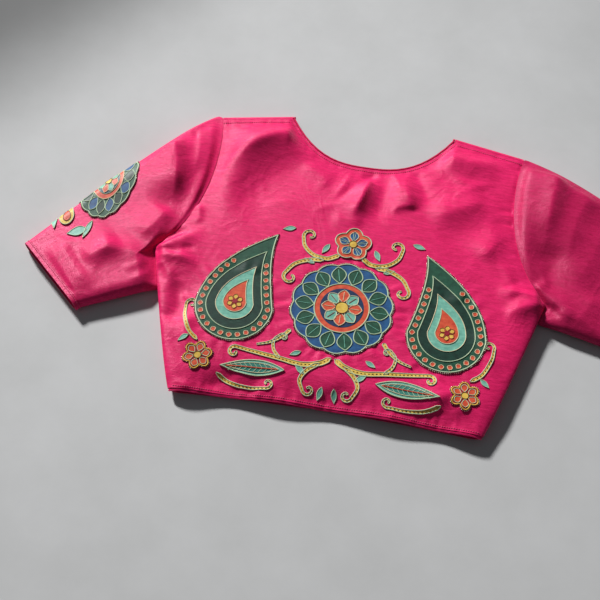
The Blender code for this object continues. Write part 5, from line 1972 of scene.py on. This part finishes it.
class BLOUSE_OT_stage(bpy.types.Operator):
    """The floor, the lights and the camera"""

    bl_idname = "blouse.stage"
    bl_label = "Stage"

    def execute(self, context):
        scene = context.scene
        studio = scene.blouse_studio
        scene.view_settings.view_transform = "Standard"
        floor = mesh_object(
            "floor",
            [(-4, -4, 0), (4, -4, 0), (4, 4, 0), (-4, 4, 0)],
            [(0, 1, 2, 3)],
            floor_material(),
        )
        floor.location.z = -0.0002
        azimuth = math.radians(CAMERA_AZIMUTH)
        elevation = math.radians(CAMERA_ELEVATION)
        back = Vector(
            (
                math.sin(azimuth) * math.cos(elevation),
                -math.cos(azimuth) * math.cos(elevation),
                math.sin(elevation),
            )
        )
        camera = bpy.data.objects.new("camera", bpy.data.cameras.new("camera"))
        scene.collection.objects.link(camera)
        camera.data.sensor_width = CAMERA_SENSOR
        camera.data.lens = CAMERA_LENS
        camera.location = Vector(CAMERA_TARGET) + back * CAMERA_DISTANCE
        camera.rotation_mode = "QUATERNION"
        camera.rotation_quaternion = (-back).to_track_quat("-Z", "Y")
        scene.camera = camera
        forward = math.pi / 2 + azimuth
        turn = forward + math.radians(KEY_TURN)
        rise = math.radians(KEY_RISE)
        level = math.cos(rise)
        towards = Vector((math.cos(turn) * level, math.sin(turn) * level, math.sin(rise)))
        sun = bpy.data.objects.new("key_light", bpy.data.lights.new("key_light", "SUN"))
        scene.collection.objects.link(sun)
        sun.data.energy = studio.key_strength
        sun.data.angle = studio.key_softness
        sun.data.color = KEY_COLOUR
        sun.rotation_mode = "QUATERNION"
        sun.rotation_quaternion = towards.to_track_quat("Z", "Y")
        world = bpy.data.worlds.new("studio")
        world.use_nodes = True
        scene.world = world
        background = world.node_tree.nodes["Background"]
        background.inputs["Color"].default_value = FILL_COLOUR
        background.inputs["Strength"].default_value = studio.fill_strength
        return {"FINISHED"}


def floor_material():
    """Pale, faintly mottled plaster, with a painted shadow darkening it softly towards one corner and
    painted light that fades away from a bright spot.
    """
    material, tree, shader, place = new_material("pale_floor")
    mottle = noise(tree, place["Object"], scale=9.0, detail=6.0, roughness=0.62)
    plaster = ramp(tree, mottle, (0.526, 0.538, 0.547), (0.605, 0.618, 0.633), 0.25, 0.75)
    eased = {"interpolation_type": "SMOOTHSTEP"}
    # Painted shadow towards one corner, and painted light fading away from a bright spot
    far = vector(tree, "DOT_PRODUCT", place["Object"], PAINTED_SHADOW_WAY).outputs["Value"]
    painted_shadow = ranged(tree, far, PAINTED_SHADOW_START, PAINTED_SHADOW_END, 1.0, PAINTED_SHADOW_LEAST, **eased)
    near = vector(tree, "DISTANCE", place["Object"], PAINTED_LIGHT_SPOT).outputs["Value"]
    painted_falloff = ranged(tree, near, *PAINTED_LIGHT_REACH, 1.0, PAINTED_LIGHT_LEAST, **eased)
    shaded = vector(tree, "SCALE", plaster)
    feed(tree, shaded, {"Scale": number(tree, "MULTIPLY", painted_shadow, painted_falloff)})
    feed(tree, shader, {"Base Color": shaded.outputs[0], "Roughness": 0.85})
    return material


OPERATORS = (
    BLOUSE_OT_back,
    BLOUSE_OT_fronts,
    BLOUSE_OT_sleeves,
    BLOUSE_OT_trims,
    BLOUSE_OT_back_motifs,
    BLOUSE_OT_sleeve_motifs,
    BLOUSE_OT_beads,
    BLOUSE_OT_stitches,
    BLOUSE_OT_stage,
)
SETTINGS = {
    "blouse_cloth": BlouseCloth,
    "blouse_silk": BlouseSilk,
    "blouse_studio": BlouseStudio,
}


class BLOUSE_PT_panel(bpy.types.Panel):
    """Lists the blouse's settings and steps"""

    bl_label = "Silk blouse"
    bl_idname = "BLOUSE_PT_panel"
    bl_space_type = "VIEW_3D"
    bl_region_type = "UI"
    bl_category = "Blouse"

    def draw(self, context):
        for name in SETTINGS:
            group = getattr(context.scene, name)
            box = self.layout.box()
            for key in group.bl_rna.properties.keys():
                if key not in ("rna_type", "name"):
                    box.prop(group, key)
        for step in OPERATORS:
            self.layout.operator(step.bl_idname)


def register():
    for kind in (*SETTINGS.values(), *OPERATORS, BLOUSE_PT_panel):
        bpy.utils.register_class(kind)
    for name, kind in SETTINGS.items():
        setattr(bpy.types.Scene, name, PointerProperty(type=kind))


def unregister():
    for name in SETTINGS:
        delattr(bpy.types.Scene, name)
    for kind in reversed((*SETTINGS.values(), *OPERATORS, BLOUSE_PT_panel)):
        bpy.utils.unregister_class(kind)


def main():
    register()
    for step in OPERATORS:
        group, name = step.bl_idname.split(".")
        getattr(getattr(bpy.ops, group), name)()


if __name__ == "__main__":
    main()
